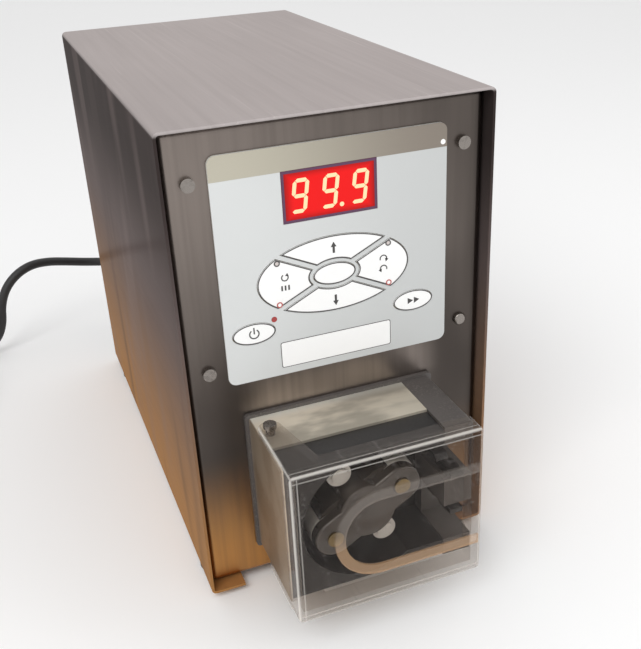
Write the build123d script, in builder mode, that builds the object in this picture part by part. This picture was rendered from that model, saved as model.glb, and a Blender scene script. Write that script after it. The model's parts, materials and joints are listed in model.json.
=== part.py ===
from build123d import *
import math
import os

os.makedirs("parts", exist_ok=True)

# Bench peristaltic pump: a bent steel case with a membrane keypad, and a pump head on its front.
# X runs to the right, Y to the back and Z up. The floor is Z = 0, and the case is centred on X = 0.

# Case
CASE_W = 140.0
CASE_D = 255.0
CASE_H = 215.0
SHEET = 1.2
BEND_R = 2.5
FLANGE = 16.0
FOOT_H = 3.0
FOOT_R = 8.0
FOOT_INSET = 25.0
BASE_T = 1.5
RECESS = 6.0
TRAY_GAP = 0.5
TRAY_T = 1.5
TRAY_LIP = 12.0
TRAY_R = 3.0
FIT = 0.05
PLAY = 0.3

# Screws
M3_R = 1.5
M3_HEAD_R = 2.85
M3_HEAD_H = 1.9
M4_R = 2.0
M4_HEAD_R = 3.5
M4_HEAD_H = 4.0
NUT_T = 3.0
HOLE_SLACK = 0.2

# Keypad, placed from the case's bottom centre
PAD_W = 101.0
PAD_H = 98.9
PAD_Z = 152.75
PAD_R = 3.5
FILM_T = 0.2
PAD_T = 0.9
KEY_T = 0.6
KEY_PROUD = 0.2
DOME_T = 0.2
DOME_R = 2.6
WINDOW_W = 40.6
WINDOW_H = 21.4
WINDOW_X = -1.5
WINDOW_Z = 181.3
KEYS_X = -1.2
KEYS_Z = 145.6
KEYS_A = 33.6
KEYS_B = 16.7
RING_A = 11.3
RING_B = 6.6
HUB_A = 9.3
HUB_B = 4.7
SPOKE = 2.4
SPOKE_TURN = 25.6
OVAL_A = 9.2
OVAL_B = 4.6
POWER_AT = (-37.9, 125.4)
PRIME_AT = (34.8, 125.6)
LAMP_R = 1.2
LAMP_AT = [(-28.8, 130.1)]

# Display and control board
DISPLAY_W = 37.7
DISPLAY_H = 19.0
DISPLAY_T = 7.0
BOARD_W = 126.0
BOARD_H = 92.0
BOARD_T = 1.6
POST_L = 9.0
POST_R = 2.75
POST_X = 58.4
POST_LOW_Z = 111.1
POST_HIGH_Z = 192.5

# Pump head, placed from the case's bottom centre and the rim of the case
HEAD_LEFT = -44.0
HEAD_SPLIT = 28.5
HEAD_RIGHT = 42.0
HEAD_TOP = 86.0
HEAD_BOTTOM = 18.5
HEAD_FRONT = 38.0
MOUNT_T = 2.0
MOUNT_EDGE = 1.6
HOOD_T = 1.2
HOOD_REACH = 21.7
AXIS_X = -6.0
AXIS_Z = 52.25
TRACK_R = 30.5
TRACK_DEPTH = 28.0
PORT_LOW = 27.0
PORT_HIGH = 77.5
BRIDGE_H = 14.0
PORT_SLACK = 4.0
JAW_SETBACK = 2.0
JAW_W = 6.0
JAW_D = 18.0
JAW_T = 4.0
JAW_STEM_R = 2.5
FRAME_SCREWS = (12.6, 28.7)

# Rotor
SHAFT_R = 5.0
BUSH_WALL = 3.0
ROTOR_TURN = 30.0
ROLLER_R = 9.0
ROLLER_AT = 18.0
GUIDE_R = 5.5
GUIDE_CORE_R = 4.0
GUIDE_AT = 20.0
PIN_R = 2.5
PIN_HEAD_R = 3.6
PLATE_T = 4.0
CAP_T = 5.0
ROTOR_GAP = 2.0
ROTOR_RECESS = 2.0
LOBE_R = 8.0
HUB_R = 13.0

# Clear guard
GUARD_RIGHT = 41.0
GUARD_FRONT = 49.0
GUARD_BOTTOM = 15.4
GUARD_TOP = 89.2
GUARD_WALL = 3.0
GUARD_R = 2.0
ARM_T = 2.9
ARM_ROOT_W = 16.0
PIVOT_AT = (-39.0, 11.0)
PIVOT_END_R = 5.0
PIVOT_R = 2.0
RIB_R = 18.7
RIB_W = 4.6
RIB_H = 1.4

# Drive
GEARBOX_W = 56.0
GEARBOX_L = 44.0
MOTOR_R = 25.0
MOTOR_L = 72.0
HEAD_BOLT = 19.0

# Mains side
SUPPLY_W = 62.0
SUPPLY_D = 88.0
SUPPLY_H = 38.0
SUPPLY_LEG = 4.0
GLAND_X = -38.0
GLAND_Z = 43.0
GLAND_L = 30.0
GLAND_R = 6.0
FUSE_X = 30.0
FUSE_Z = 43.0
FUSE_R = 6.0
CORD_R = 3.0
COIL_AT = (-198.0, 159.0)
COIL_IN_R = 21.0
COIL_OUT_R = 45.0
COIL_H = 12.0
PLUG_L = 36.0
PLUG_W = 26.0
PLUG_H = 22.0
RELIEF_L = 25.0
LEAD_L = 16.0

# Places worked out from the sizes above
RIM_Y = (GUARD_FRONT + RIB_H - CASE_D) / 2
BACK_Y = RIM_Y + CASE_D
PANEL_Y = RIM_Y + RECESS
PANEL_IN_Y = PANEL_Y + TRAY_T
REAR_Y = BACK_Y - RECESS
PANEL_BOTTOM = FOOT_H + SHEET + TRAY_GAP
PANEL_TOP = FOOT_H + CASE_H - SHEET - TRAY_GAP
PANEL_MID = (PANEL_BOTTOM + PANEL_TOP) / 2
PANEL_W = CASE_W - 2 * (SHEET + TRAY_GAP)
FILM_Y = PANEL_Y - FILM_T
PAD_Y = FILM_Y - PAD_T
KEY_Y = PAD_Y - KEY_PROUD
BLOCK_TOP = HEAD_TOP - HOOD_T
BLOCK_BOTTOM = HEAD_BOTTOM + HOOD_T
MOUNT_Y = PANEL_Y - MOUNT_T
HEAD_Y = RIM_Y - HEAD_FRONT
TRACK_Y = HEAD_Y + TRACK_DEPTH
PLATE_Y = TRACK_Y - ROTOR_GAP
CAP_Y = HEAD_Y + ROTOR_RECESS
GUARD_Y = RIM_Y - GUARD_FRONT
BRIDGE_LOW = (PORT_LOW + PORT_HIGH - BRIDGE_H) / 2
BRIDGE_HIGH = BRIDGE_LOW + BRIDGE_H
AXIS = (AXIS_X, FOOT_H + AXIS_Z)
GEARBOX_END = PANEL_IN_Y + GEARBOX_L


def front(y):
    """Plane at depth y whose sketches are seen from the front, in X and Z."""
    return Plane.XZ.offset(-y)


def level(z):
    """Horizontal plane at a height above the case's bottom."""
    return Plane.XY.offset(FOOT_H + z)


def up(z):
    """Height above the floor of a height above the case's bottom."""
    return FOOT_H + z


def save(part, name):
    part.label = name
    export_step(part, f"parts/{name}.step")


# ---- Case ----

FOOT_X = CASE_W / 2 - FLANGE / 2 - SHEET / 2
FEET = [(sx * FOOT_X, y) for sx in (-1, 1) for y in (RIM_Y + FOOT_INSET, BACK_Y - FOOT_INSET)]

with BuildPart() as outer_shell:
    with BuildSketch(front(BACK_Y)):
        with Locations((0, up(CASE_H / 2))):
            RectangleRounded(CASE_W, CASE_H, BEND_R)
            RectangleRounded(CASE_W - 2 * SHEET, CASE_H - 2 * SHEET, BEND_R - SHEET, mode=Mode.SUBTRACT)
        with Locations((0, up(0))):
            Rectangle(CASE_W - 2 * FLANGE, 4 * SHEET, mode=Mode.SUBTRACT)
    extrude(amount=CASE_D)
    with BuildSketch(level(0)):
        with Locations(FEET):
            Circle(M3_R + HOLE_SLACK)
    extrude(amount=SHEET, mode=Mode.SUBTRACT)
save(outer_shell.part, "outer_shell")

BASE_BACK = BACK_Y - RECESS - TRAY_LIP - 2
BASE_FRONT = RIM_Y + RECESS + TRAY_LIP + 2
SUPPLY_X = 22.0
SUPPLY_Y = BASE_BACK - SUPPLY_D / 2 - 12
SUPPLY_HOLES = [
    (SUPPLY_X + sx * (SUPPLY_W / 2 - 5), SUPPLY_Y + sy * (SUPPLY_D / 2 - 5)) for sx in (-1, 1) for sy in (-1, 1)
]

with BuildPart() as base_plate:
    with BuildSketch(level(SHEET)):
        with Locations((0, (BASE_FRONT + BASE_BACK) / 2)):
            Rectangle(PANEL_W - 2 * BEND_R, BASE_BACK - BASE_FRONT)
        with Locations(FEET):
            Circle(M3_R + FIT, mode=Mode.SUBTRACT)
        with Locations(SUPPLY_HOLES):
            Circle(M3_R + FIT, mode=Mode.SUBTRACT)
    extrude(amount=BASE_T)
save(base_plate.part, "base_plate")

with BuildPart() as rubber_feet:
    with BuildSketch(Plane.XY):
        with Locations(FEET):
            Circle(FOOT_R)
    extrude(amount=FOOT_H)
    chamfer(rubber_feet.faces().sort_by(Axis.Z)[0].edges(), 0.6)
    with BuildSketch(Plane.XY):
        with Locations(FEET):
            Circle(M3_HEAD_R + PLAY)
    extrude(amount=M3_HEAD_H + 0.3, mode=Mode.SUBTRACT)
    with BuildSketch(Plane.XY):
        with Locations(FEET):
            Circle(M3_R + HOLE_SLACK)
    extrude(amount=FOOT_H, mode=Mode.SUBTRACT)
save(rubber_feet.part, "rubber_feet")

with BuildPart() as foot_screws:
    with BuildSketch(Plane.XY.offset(0.3)):
        with Locations(FEET):
            Circle(M3_HEAD_R)
    extrude(amount=M3_HEAD_H)
    with BuildSketch(Plane.XY.offset(0.3)):
        with Locations(FEET):
            Circle(M3_R)
    extrude(amount=FOOT_H + SHEET + BASE_T + 1)
save(foot_screws.part, "foot_screws")

PAD_CENTRE = (0, up(PAD_Z))
WINDOW_AT = (WINDOW_X, up(WINDOW_Z))
POSTS = [(sx * POST_X, up(z)) for sx in (-1, 1) for z in (POST_LOW_Z, POST_HIGH_Z)]
HEAD_BOLTS = [(AXIS[0] + sx * HEAD_BOLT, AXIS[1] + sz * HEAD_BOLT) for sx in (-1, 1) for sz in (-1, 1)]
BUSH_R = SHAFT_R + FIT + BUSH_WALL

with BuildPart() as front_panel:
    with BuildSketch(front(PANEL_Y)):
        with Locations((0, PANEL_MID)):
            Rectangle(PANEL_W, PANEL_TOP - PANEL_BOTTOM)
    extrude(amount=-TRAY_LIP)
    fillet(front_panel.edges().filter_by(Axis.Y), TRAY_R)
    fillet(front_panel.faces().sort_by(Axis.Y)[0].edges(), TRAY_R - 0.01)
    offset(amount=-TRAY_T, openings=front_panel.faces().sort_by(Axis.Y)[-1])
    with BuildSketch(front(PANEL_Y)):
        with Locations(WINDOW_AT):
            Rectangle(DISPLAY_W + 2 * PLAY, DISPLAY_H + 2 * PLAY)
        with Locations(POSTS):
            Circle(M3_R + HOLE_SLACK)
        with Locations(HEAD_BOLTS):
            Circle(M4_R + HOLE_SLACK)
        with Locations(AXIS):
            Circle(BUSH_R + HOLE_SLACK)
    extrude(amount=-TRAY_T, mode=Mode.SUBTRACT)
save(front_panel.part, "front_panel")

VENT_W = 3.0
VENT_H = 34.0
VENT_STEP = 8.0
VENT_COUNT = 12
REAR_X = PANEL_W / 2 - 12
REAR_POSTS = [(sx * REAR_X, PANEL_MID + sz * (CASE_H / 2 - 20)) for sx in (-1, 1) for sz in (-1, 1)]

with BuildPart() as rear_panel:
    with BuildSketch(front(REAR_Y)):
        with Locations((0, PANEL_MID)):
            Rectangle(PANEL_W, PANEL_TOP - PANEL_BOTTOM)
    extrude(amount=TRAY_LIP)
    fillet(rear_panel.edges().filter_by(Axis.Y), TRAY_R)
    fillet(rear_panel.faces().sort_by(Axis.Y)[-1].edges(), TRAY_R - 0.01)
    offset(amount=-TRAY_T, openings=rear_panel.faces().sort_by(Axis.Y)[0])
    with BuildSketch(front(REAR_Y)):
        with Locations((0, up(165))):
            with GridLocations(VENT_STEP, 1, VENT_COUNT, 1):
                SlotOverall(VENT_H, VENT_W, rotation=90)
        with Locations(REAR_POSTS):
            Circle(M3_R + HOLE_SLACK)
        with Locations((GLAND_X, up(GLAND_Z))):
            Circle(GLAND_R + HOLE_SLACK)
        with Locations((FUSE_X, up(FUSE_Z))):
            Circle(FUSE_R + HOLE_SLACK)
    extrude(amount=TRAY_T, mode=Mode.SUBTRACT)
save(rear_panel.part, "rear_panel")

with BuildPart() as rear_nuts:
    with BuildSketch(front(REAR_Y - TRAY_T)):
        with Locations(REAR_POSTS):
            RegularPolygon(POST_R, 6, major_radius=False)
            Circle(M3_R + FIT, mode=Mode.SUBTRACT)
    extrude(amount=NUT_T)
save(rear_nuts.part, "rear_nuts")

with BuildPart() as rear_screws:
    with BuildSketch(front(REAR_Y)):
        with Locations(REAR_POSTS):
            Circle(M3_HEAD_R)
    extrude(amount=-M3_HEAD_H)
    fillet(rear_screws.faces().sort_by(Axis.Y)[-1].edges(), 0.8)
    with BuildSketch(front(REAR_Y)):
        with Locations(REAR_POSTS):
            Circle(M3_R)
    extrude(amount=TRAY_T + 5)
save(rear_screws.part, "rear_screws")

# ---- Keypad ----

KEYS_AT = (KEYS_X, up(KEYS_Z))


def spoke_key(side, upright, grow):
    """One of the four keys round the centre key: a piece of a big oval between two slanted spokes."""
    turn = math.radians(SPOKE_TURN)
    half = SPOKE / 2 - grow
    far = 3 * KEYS_A
    if upright:
        tip = half / math.cos(turn)
        wedge = [(0, tip), (far * math.cos(turn), tip + far * math.sin(turn)),
                 (-far * math.cos(turn), tip + far * math.sin(turn))]
    else:
        tip = half / math.sin(turn)
        wedge = [(tip, 0), (tip + far * math.cos(turn), -far * math.sin(turn)),
                 (tip + far * math.cos(turn), far * math.sin(turn))]
    with BuildSketch() as outline:
        Ellipse(KEYS_A + grow, KEYS_B + grow)
        Ellipse(RING_A - grow, RING_B - grow, mode=Mode.SUBTRACT)
        Polygon(*wedge, align=None, mode=Mode.INTERSECT)
        if side < 0:
            mirror(about=Plane.XZ if upright else Plane.YZ, mode=Mode.REPLACE)
    return outline.sketch


def oval_key(a, b, grow):
    with BuildSketch() as outline:
        Ellipse(a + grow, b + grow)
    return outline.sketch


def key_outlines(grow):
    """Each key's name, its middle and its outline, grown for the hole that it moves in."""
    return [
        ("faster_key", KEYS_AT, spoke_key(1, True, grow)),
        ("slower_key", KEYS_AT, spoke_key(-1, True, grow)),
        ("direction_key", KEYS_AT, spoke_key(1, False, grow)),
        ("mode_key", KEYS_AT, spoke_key(-1, False, grow)),
        ("start_key", KEYS_AT, oval_key(HUB_A, HUB_B, grow)),
        ("power_key", (POWER_AT[0], up(POWER_AT[1])), oval_key(OVAL_A, OVAL_B, grow)),
        ("prime_key", (PRIME_AT[0], up(PRIME_AT[1])), oval_key(OVAL_A, OVAL_B, grow)),
    ]


for key_name, key_at, key_outline in key_outlines(0):
    with BuildPart() as key:
        with BuildSketch(front(KEY_Y + KEY_T)):
            with Locations(key_at):
                add(key_outline)
        extrude(amount=KEY_T)
    save(key.part, key_name)

with BuildPart() as keypad_overlay:
    with BuildSketch(front(PAD_Y + PAD_T)):
        with Locations(PAD_CENTRE):
            RectangleRounded(PAD_W, PAD_H, PAD_R)
        with Locations(WINDOW_AT):
            Rectangle(WINDOW_W + PLAY, WINDOW_H + PLAY, mode=Mode.SUBTRACT)
        for _, hole_at, hole_outline in key_outlines(PLAY):
            with Locations(hole_at):
                add(hole_outline, mode=Mode.SUBTRACT)
        with Locations([(x, up(z)) for x, z in LAMP_AT]):
            Circle(LAMP_R + FIT, mode=Mode.SUBTRACT)
    extrude(amount=PAD_T)
save(keypad_overlay.part, "keypad_overlay")

with BuildPart() as keypad_circuit:
    with BuildSketch(front(FILM_Y + FILM_T)):
        with Locations(PAD_CENTRE):
            RectangleRounded(PAD_W, PAD_H, PAD_R)
        with Locations(WINDOW_AT):
            Rectangle(DISPLAY_W + 2 * PLAY, DISPLAY_H + 2 * PLAY, mode=Mode.SUBTRACT)
    extrude(amount=FILM_T)
save(keypad_circuit.part, "keypad_circuit")

SPOKE_DOME = 22.0
DOMES = [
    (KEYS_AT[0], KEYS_AT[1] + 11.5), (KEYS_AT[0], KEYS_AT[1] - 11.5),
    (KEYS_AT[0] + SPOKE_DOME, KEYS_AT[1]), (KEYS_AT[0] - SPOKE_DOME, KEYS_AT[1]), KEYS_AT,
    (POWER_AT[0], up(POWER_AT[1])), (PRIME_AT[0], up(PRIME_AT[1])),
]

with BuildPart() as key_domes:
    with BuildSketch(front(FILM_Y)):
        with Locations(DOMES):
            Circle(DOME_R)
    extrude(amount=DOME_T)
save(key_domes.part, "key_domes")

with BuildPart() as run_lamp:
    with BuildSketch(front(FILM_Y)):
        with Locations([(x, up(z)) for x, z in LAMP_AT]):
            Circle(LAMP_R)
    extrude(amount=PAD_T + 0.1)
save(run_lamp.part, "run_lamp")

with BuildPart() as display_window:
    with BuildSketch(front(PAD_Y + PAD_T)):
        with Locations(WINDOW_AT):
            Rectangle(WINDOW_W, WINDOW_H)
    extrude(amount=PAD_T)
save(display_window.part, "display_window")

with BuildPart() as led_display:
    with BuildSketch(front(PANEL_Y + DISPLAY_T)):
        with Locations(WINDOW_AT):
            Rectangle(DISPLAY_W, DISPLAY_H)
    extrude(amount=DISPLAY_T)
save(led_display.part, "led_display")

# ---- Control board ----

BOARD_Y = PANEL_IN_Y + POST_L

with BuildPart() as board_posts:
    with BuildSketch(front(BOARD_Y)):
        with Locations(POSTS):
            RegularPolygon(POST_R, 6, major_radius=False)
            Circle(M3_R + FIT, mode=Mode.SUBTRACT)
    extrude(amount=POST_L)
save(board_posts.part, "board_posts")

with BuildPart() as panel_screws:
    with BuildSketch(front(PANEL_Y)):
        with Locations(POSTS):
            Circle(M3_HEAD_R)
    extrude(amount=M3_HEAD_H)
    fillet(panel_screws.faces().sort_by(Axis.Y)[0].edges(), 1.0)
    with BuildSketch(front(PANEL_Y)):
        with Locations(POSTS):
            Circle(M3_R)
    extrude(amount=-(TRAY_T + 4))
save(panel_screws.part, "panel_screws")

with BuildPart() as board_screws:
    with BuildSketch(front(BOARD_Y + BOARD_T)):
        with Locations(POSTS):
            Circle(M3_HEAD_R)
    extrude(amount=-M3_HEAD_H)
    with BuildSketch(front(BOARD_Y + BOARD_T)):
        with Locations(POSTS):
            Circle(M3_R)
    extrude(amount=BOARD_T + 4)
save(board_screws.part, "board_screws")

BOARD_MID = up((POST_LOW_Z + POST_HIGH_Z) / 2)

with BuildPart() as control_board:
    with BuildSketch(front(BOARD_Y + BOARD_T)):
        with Locations((0, BOARD_MID)):
            Rectangle(BOARD_W, BOARD_H)
        with Locations(POSTS):
            Circle(M3_R + HOLE_SLACK, mode=Mode.SUBTRACT)
    extrude(amount=BOARD_T)
save(control_board.part, "control_board")

# Width, height, reach and place of each part soldered to the back of the board
BOARD_CHIPS = [
    (14, 14, 2, -20, 20), (20, 8, 3, 18, 24), (9, 9, 12, 38, -18), (9, 9, 12, 26, -18), (24, 10, 9, -30, -26),
]

with BuildPart() as board_chips:
    for chip_w, chip_h, chip_t, chip_x, chip_z in BOARD_CHIPS:
        with BuildSketch(front(BOARD_Y + BOARD_T)):
            with Locations((chip_x, BOARD_MID + chip_z)):
                Rectangle(chip_w, chip_h)
        extrude(amount=-chip_t)
save(board_chips.part, "board_chips")

# ---- Drive ----

with BuildPart() as gearbox:
    with BuildSketch(front(GEARBOX_END)):
        with Locations(AXIS):
            RectangleRounded(GEARBOX_W, GEARBOX_W, 5)
    extrude(amount=GEARBOX_L)
    with BuildSketch(front(PANEL_IN_Y)):
        with Locations(AXIS):
            Circle(BUSH_R + HOLE_SLACK)
    extrude(amount=-20, mode=Mode.SUBTRACT)
    with BuildSketch(front(PANEL_IN_Y)):
        with Locations(HEAD_BOLTS):
            Circle(M4_R + FIT)
    extrude(amount=-12, mode=Mode.SUBTRACT)
save(gearbox.part, "gearbox")

with BuildPart() as motor:
    with BuildSketch(front(GEARBOX_END + MOTOR_L)):
        with Locations(AXIS):
            Circle(MOTOR_R)
    extrude(amount=MOTOR_L)
    with BuildSketch(front(GEARBOX_END + MOTOR_L + 6)):
        with Locations(AXIS):
            Circle(MOTOR_R - 12)
    extrude(amount=6)
    chamfer(motor.faces().filter_by(Axis.Y).sort_by(Axis.Y)[-1].edges(), 1)
save(motor.part, "motor")

SHAFT_FRONT = CAP_Y + 1.5

with BuildPart() as drive_shaft:
    with BuildSketch(front(PANEL_IN_Y + 19)):
        with Locations(AXIS):
            Circle(SHAFT_R)
    extrude(amount=PANEL_IN_Y + 19 - SHAFT_FRONT)
    chamfer(drive_shaft.faces().sort_by(Axis.Y)[0].edges(), 0.5)
save(drive_shaft.part, "drive_shaft")

# ---- Pump head ----

with BuildPart() as head_mount:
    with BuildSketch(front(PANEL_Y)):
        with Locations(((HEAD_LEFT + HEAD_RIGHT) / 2, up((HEAD_TOP + HEAD_BOTTOM) / 2))):
            RectangleRounded(
                HEAD_RIGHT - HEAD_LEFT + 2 * MOUNT_EDGE, HEAD_TOP - HEAD_BOTTOM + 2 * MOUNT_EDGE, MOUNT_EDGE
            )
        with Locations(HEAD_BOLTS):
            Circle(M4_R + HOLE_SLACK, mode=Mode.SUBTRACT)
        with Locations(AXIS):
            Circle(BUSH_R + FIT, mode=Mode.SUBTRACT)
    extrude(amount=MOUNT_T)
save(head_mount.part, "head_mount")

BLOCK_LEFT = HEAD_LEFT + HOOD_T

with BuildPart() as track_block:
    with BuildSketch(front(MOUNT_Y)):
        with Locations(((BLOCK_LEFT + HEAD_SPLIT) / 2, up((BLOCK_TOP + BLOCK_BOTTOM) / 2))):
            Rectangle(HEAD_SPLIT - BLOCK_LEFT, BLOCK_TOP - BLOCK_BOTTOM)
    extrude(amount=MOUNT_Y - HEAD_Y)
    with BuildSketch(front(HEAD_Y)):
        with Locations(AXIS):
            Circle(TRACK_R)
        with Locations(((AXIS_X + HEAD_SPLIT) / 2, up((PORT_LOW + PORT_HIGH) / 2))):
            Rectangle(HEAD_SPLIT - AXIS_X, PORT_HIGH - PORT_LOW)
    extrude(amount=-TRACK_DEPTH, mode=Mode.SUBTRACT)
    with BuildSketch(front(TRACK_Y)):
        with Locations(AXIS):
            Circle(BUSH_R + FIT)
        with Locations(HEAD_BOLTS):
            Circle(M4_R + HOLE_SLACK)
    extrude(amount=-(MOUNT_Y - TRACK_Y), mode=Mode.SUBTRACT)
    with BuildSketch(front(TRACK_Y)):
        with Locations(HEAD_BOLTS):
            Circle(M4_HEAD_R + HOLE_SLACK)
    extrude(amount=-(M4_HEAD_H + 0.5), mode=Mode.SUBTRACT)
    for z in (PORT_HIGH + (BLOCK_TOP - PORT_HIGH) / 2, PORT_LOW - (PORT_LOW - BLOCK_BOTTOM) / 2):
        with BuildSketch(Plane.YZ.offset(HEAD_SPLIT)):
            with Locations([(RIM_Y - y, up(z)) for y in FRAME_SCREWS]):
                Circle(M3_R + FIT)
        extrude(amount=-10, mode=Mode.SUBTRACT)
    with BuildSketch(Plane.XY.offset(up(BLOCK_TOP))):
        with Locations((PIVOT_AT[0], RIM_Y - PIVOT_AT[1])):
            Circle(PIVOT_R + FIT)
    extrude(amount=-8, mode=Mode.SUBTRACT)
    with BuildSketch(Plane.XY.offset(up(BLOCK_BOTTOM))):
        with Locations((PIVOT_AT[0], RIM_Y - PIVOT_AT[1])):
            Circle(PIVOT_R + FIT)
    extrude(amount=8, mode=Mode.SUBTRACT)
save(track_block.part, "track_block")

with BuildPart() as head_bolts:
    with BuildSketch(front(TRACK_Y + M4_HEAD_H + 0.5)):
        with Locations(HEAD_BOLTS):
            Circle(M4_HEAD_R)
    extrude(amount=M4_HEAD_H)
    with BuildSketch(front(TRACK_Y + 0.5)):
        with Locations(HEAD_BOLTS):
            RegularPolygon(1.7, 6, major_radius=False)
    extrude(amount=-2, mode=Mode.SUBTRACT)
    with BuildSketch(front(TRACK_Y + M4_HEAD_H + 0.5)):
        with Locations(HEAD_BOLTS):
            Circle(M4_R)
    extrude(amount=-(PANEL_IN_Y + 10 - TRACK_Y - M4_HEAD_H - 0.5))
save(head_bolts.part, "head_bolts")

with BuildPart() as shaft_bush:
    with BuildSketch(front(PANEL_IN_Y)):
        with Locations(AXIS):
            Circle(BUSH_R)
            Circle(SHAFT_R + FIT, mode=Mode.SUBTRACT)
    extrude(amount=PANEL_IN_Y - TRACK_Y)
save(shaft_bush.part, "shaft_bush")

with BuildPart() as head_hood:
    with BuildSketch(front(MOUNT_Y)):
        with Locations(((HEAD_LEFT + HEAD_SPLIT) / 2, up((HEAD_TOP + HEAD_BOTTOM) / 2))):
            Rectangle(HEAD_SPLIT - HEAD_LEFT, HEAD_TOP - HEAD_BOTTOM)
        with Locations(((BLOCK_LEFT + HEAD_SPLIT) / 2, up((BLOCK_TOP + BLOCK_BOTTOM) / 2))):
            Rectangle(HEAD_SPLIT - BLOCK_LEFT, BLOCK_TOP - BLOCK_BOTTOM, mode=Mode.SUBTRACT)
    extrude(amount=MOUNT_Y - HEAD_Y)
    fillet(head_hood.edges().filter_by(Axis.Y).group_by(Axis.X)[0], 1.0)
    with BuildSketch(Plane.XY):
        with Locations(((BLOCK_LEFT + HEAD_SPLIT) / 2, (HEAD_Y + RIM_Y - HOOD_REACH) / 2)):
            Rectangle(HEAD_SPLIT - BLOCK_LEFT + 0.01, HEAD_FRONT - HOOD_REACH)
    extrude(amount=up(HEAD_TOP) + 5, mode=Mode.SUBTRACT)
    with BuildSketch(Plane.XY):
        with Locations((PIVOT_AT[0], RIM_Y - PIVOT_AT[1])):
            Circle(PIVOT_R + FIT)
    extrude(amount=up(HEAD_TOP) + 5, mode=Mode.SUBTRACT)
save(head_hood.part, "head_hood")

STEM_LOW_Y = HEAD_Y + 8
STEM_HIGH_Y = HEAD_Y + 16
JAW_X = (HEAD_SPLIT + HEAD_RIGHT) / 2 - 1.5
FRAME_LEFT = HEAD_SPLIT + 0.2

with BuildPart() as clamp_frame:
    with BuildSketch(front(MOUNT_Y)):
        with Locations(((FRAME_LEFT + HEAD_RIGHT) / 2, up((HEAD_TOP + HEAD_BOTTOM) / 2))):
            Rectangle(HEAD_RIGHT - FRAME_LEFT, HEAD_TOP - HEAD_BOTTOM)
    extrude(amount=MOUNT_Y - HEAD_Y)
    for low, high in ((PORT_LOW, BRIDGE_LOW), (BRIDGE_HIGH, PORT_HIGH)):
        with BuildSketch(front(HEAD_Y)):
            with Locations((HEAD_RIGHT, up((low + high) / 2))):
                Rectangle(HEAD_RIGHT - HEAD_LEFT, high - low)
        extrude(amount=-(JAW_D + PORT_SLACK), mode=Mode.SUBTRACT)
    fillet(clamp_frame.edges().filter_by(Axis.Y).group_by(Axis.X)[-1].sort_by(Axis.Z)[-1], 1.0)
    with BuildSketch(level(BRIDGE_LOW)):
        with Locations([(JAW_X, STEM_LOW_Y), (JAW_X, STEM_HIGH_Y)]):
            Circle(JAW_STEM_R + FIT)
    extrude(amount=BRIDGE_H, mode=Mode.SUBTRACT)
    for z in (PORT_HIGH + (BLOCK_TOP - PORT_HIGH) / 2, PORT_LOW - (PORT_LOW - BLOCK_BOTTOM) / 2):
        with BuildSketch(Plane.YZ.offset(HEAD_RIGHT)):
            with Locations([(RIM_Y - y, up(z)) for y in FRAME_SCREWS]):
                Circle(M3_R + HOLE_SLACK)
        extrude(amount=-(HEAD_RIGHT - FRAME_LEFT), mode=Mode.SUBTRACT)
save(clamp_frame.part, "clamp_frame")

with BuildPart() as frame_screws:
    for z in (PORT_HIGH + (BLOCK_TOP - PORT_HIGH) / 2, PORT_LOW - (PORT_LOW - BLOCK_BOTTOM) / 2):
        with BuildSketch(Plane.YZ.offset(HEAD_RIGHT)):
            with Locations([(RIM_Y - y, up(z)) for y in FRAME_SCREWS]):
                Circle(M3_HEAD_R)
        extrude(amount=1.4)
        with BuildSketch(Plane.YZ.offset(HEAD_RIGHT)):
            with Locations([(RIM_Y - y, up(z)) for y in FRAME_SCREWS]):
                Circle(M3_R)
        extrude(amount=-(HEAD_RIGHT - HEAD_SPLIT + 8))
save(frame_screws.part, "frame_screws")


def clamp_jaw(inner, outer, stem_y, reach):
    """Sliding jaw with a V notch for the tube, a stem in the bridge and a thumb tab in front."""
    with BuildPart() as jaw:
        with BuildSketch(front(HEAD_Y + JAW_SETBACK + JAW_D)):
            with Locations((JAW_X, up((inner + outer) / 2))):
                Rectangle(JAW_W, abs(outer - inner))
        extrude(amount=JAW_D)
        with BuildSketch(Plane.YZ.offset(JAW_X - JAW_W)):
            with Locations((HEAD_Y + JAW_SETBACK + JAW_D / 2, up(outer))):
                Rectangle(3.5, 3.5, rotation=45)
        extrude(amount=2 * JAW_W, mode=Mode.SUBTRACT)
        with BuildSketch(front(HEAD_Y + JAW_SETBACK)):
            with Locations((JAW_X, up((inner + outer) / 2))):
                Rectangle(JAW_W, abs(outer - inner) * 0.6)
        extrude(amount=4)
        with BuildSketch(level(inner)):
            with Locations((JAW_X, stem_y)):
                Circle(JAW_STEM_R)
        extrude(amount=reach)
    return jaw.part


JAW_GAP = 0.3
JAW_LOW = BRIDGE_LOW - JAW_GAP
JAW_HIGH = BRIDGE_HIGH + JAW_GAP
save(clamp_jaw(JAW_LOW, JAW_LOW - JAW_T, STEM_LOW_Y, BRIDGE_H - 1), "lower_tube_clamp")
save(clamp_jaw(JAW_HIGH, JAW_HIGH + JAW_T, STEM_HIGH_Y, 1 - BRIDGE_H), "upper_tube_clamp")

# ---- Rotor ----


def around(distance, turn):
    """Places at a distance each side of the rotor's axis, along a line turned from +X."""
    angle = math.radians(turn)
    dx, dz = distance * math.cos(angle), distance * math.sin(angle)
    return [(AXIS[0] + dx, AXIS[1] + dz), (AXIS[0] - dx, AXIS[1] - dz)]


ROLLERS = around(ROLLER_AT, ROTOR_TURN)
GUIDES = around(GUIDE_AT, ROTOR_TURN + 90)
BODY_FRONT = CAP_Y + CAP_T
BODY_BACK = PLATE_Y - PLATE_T
ROLLER_PLAY = 0.3

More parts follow.
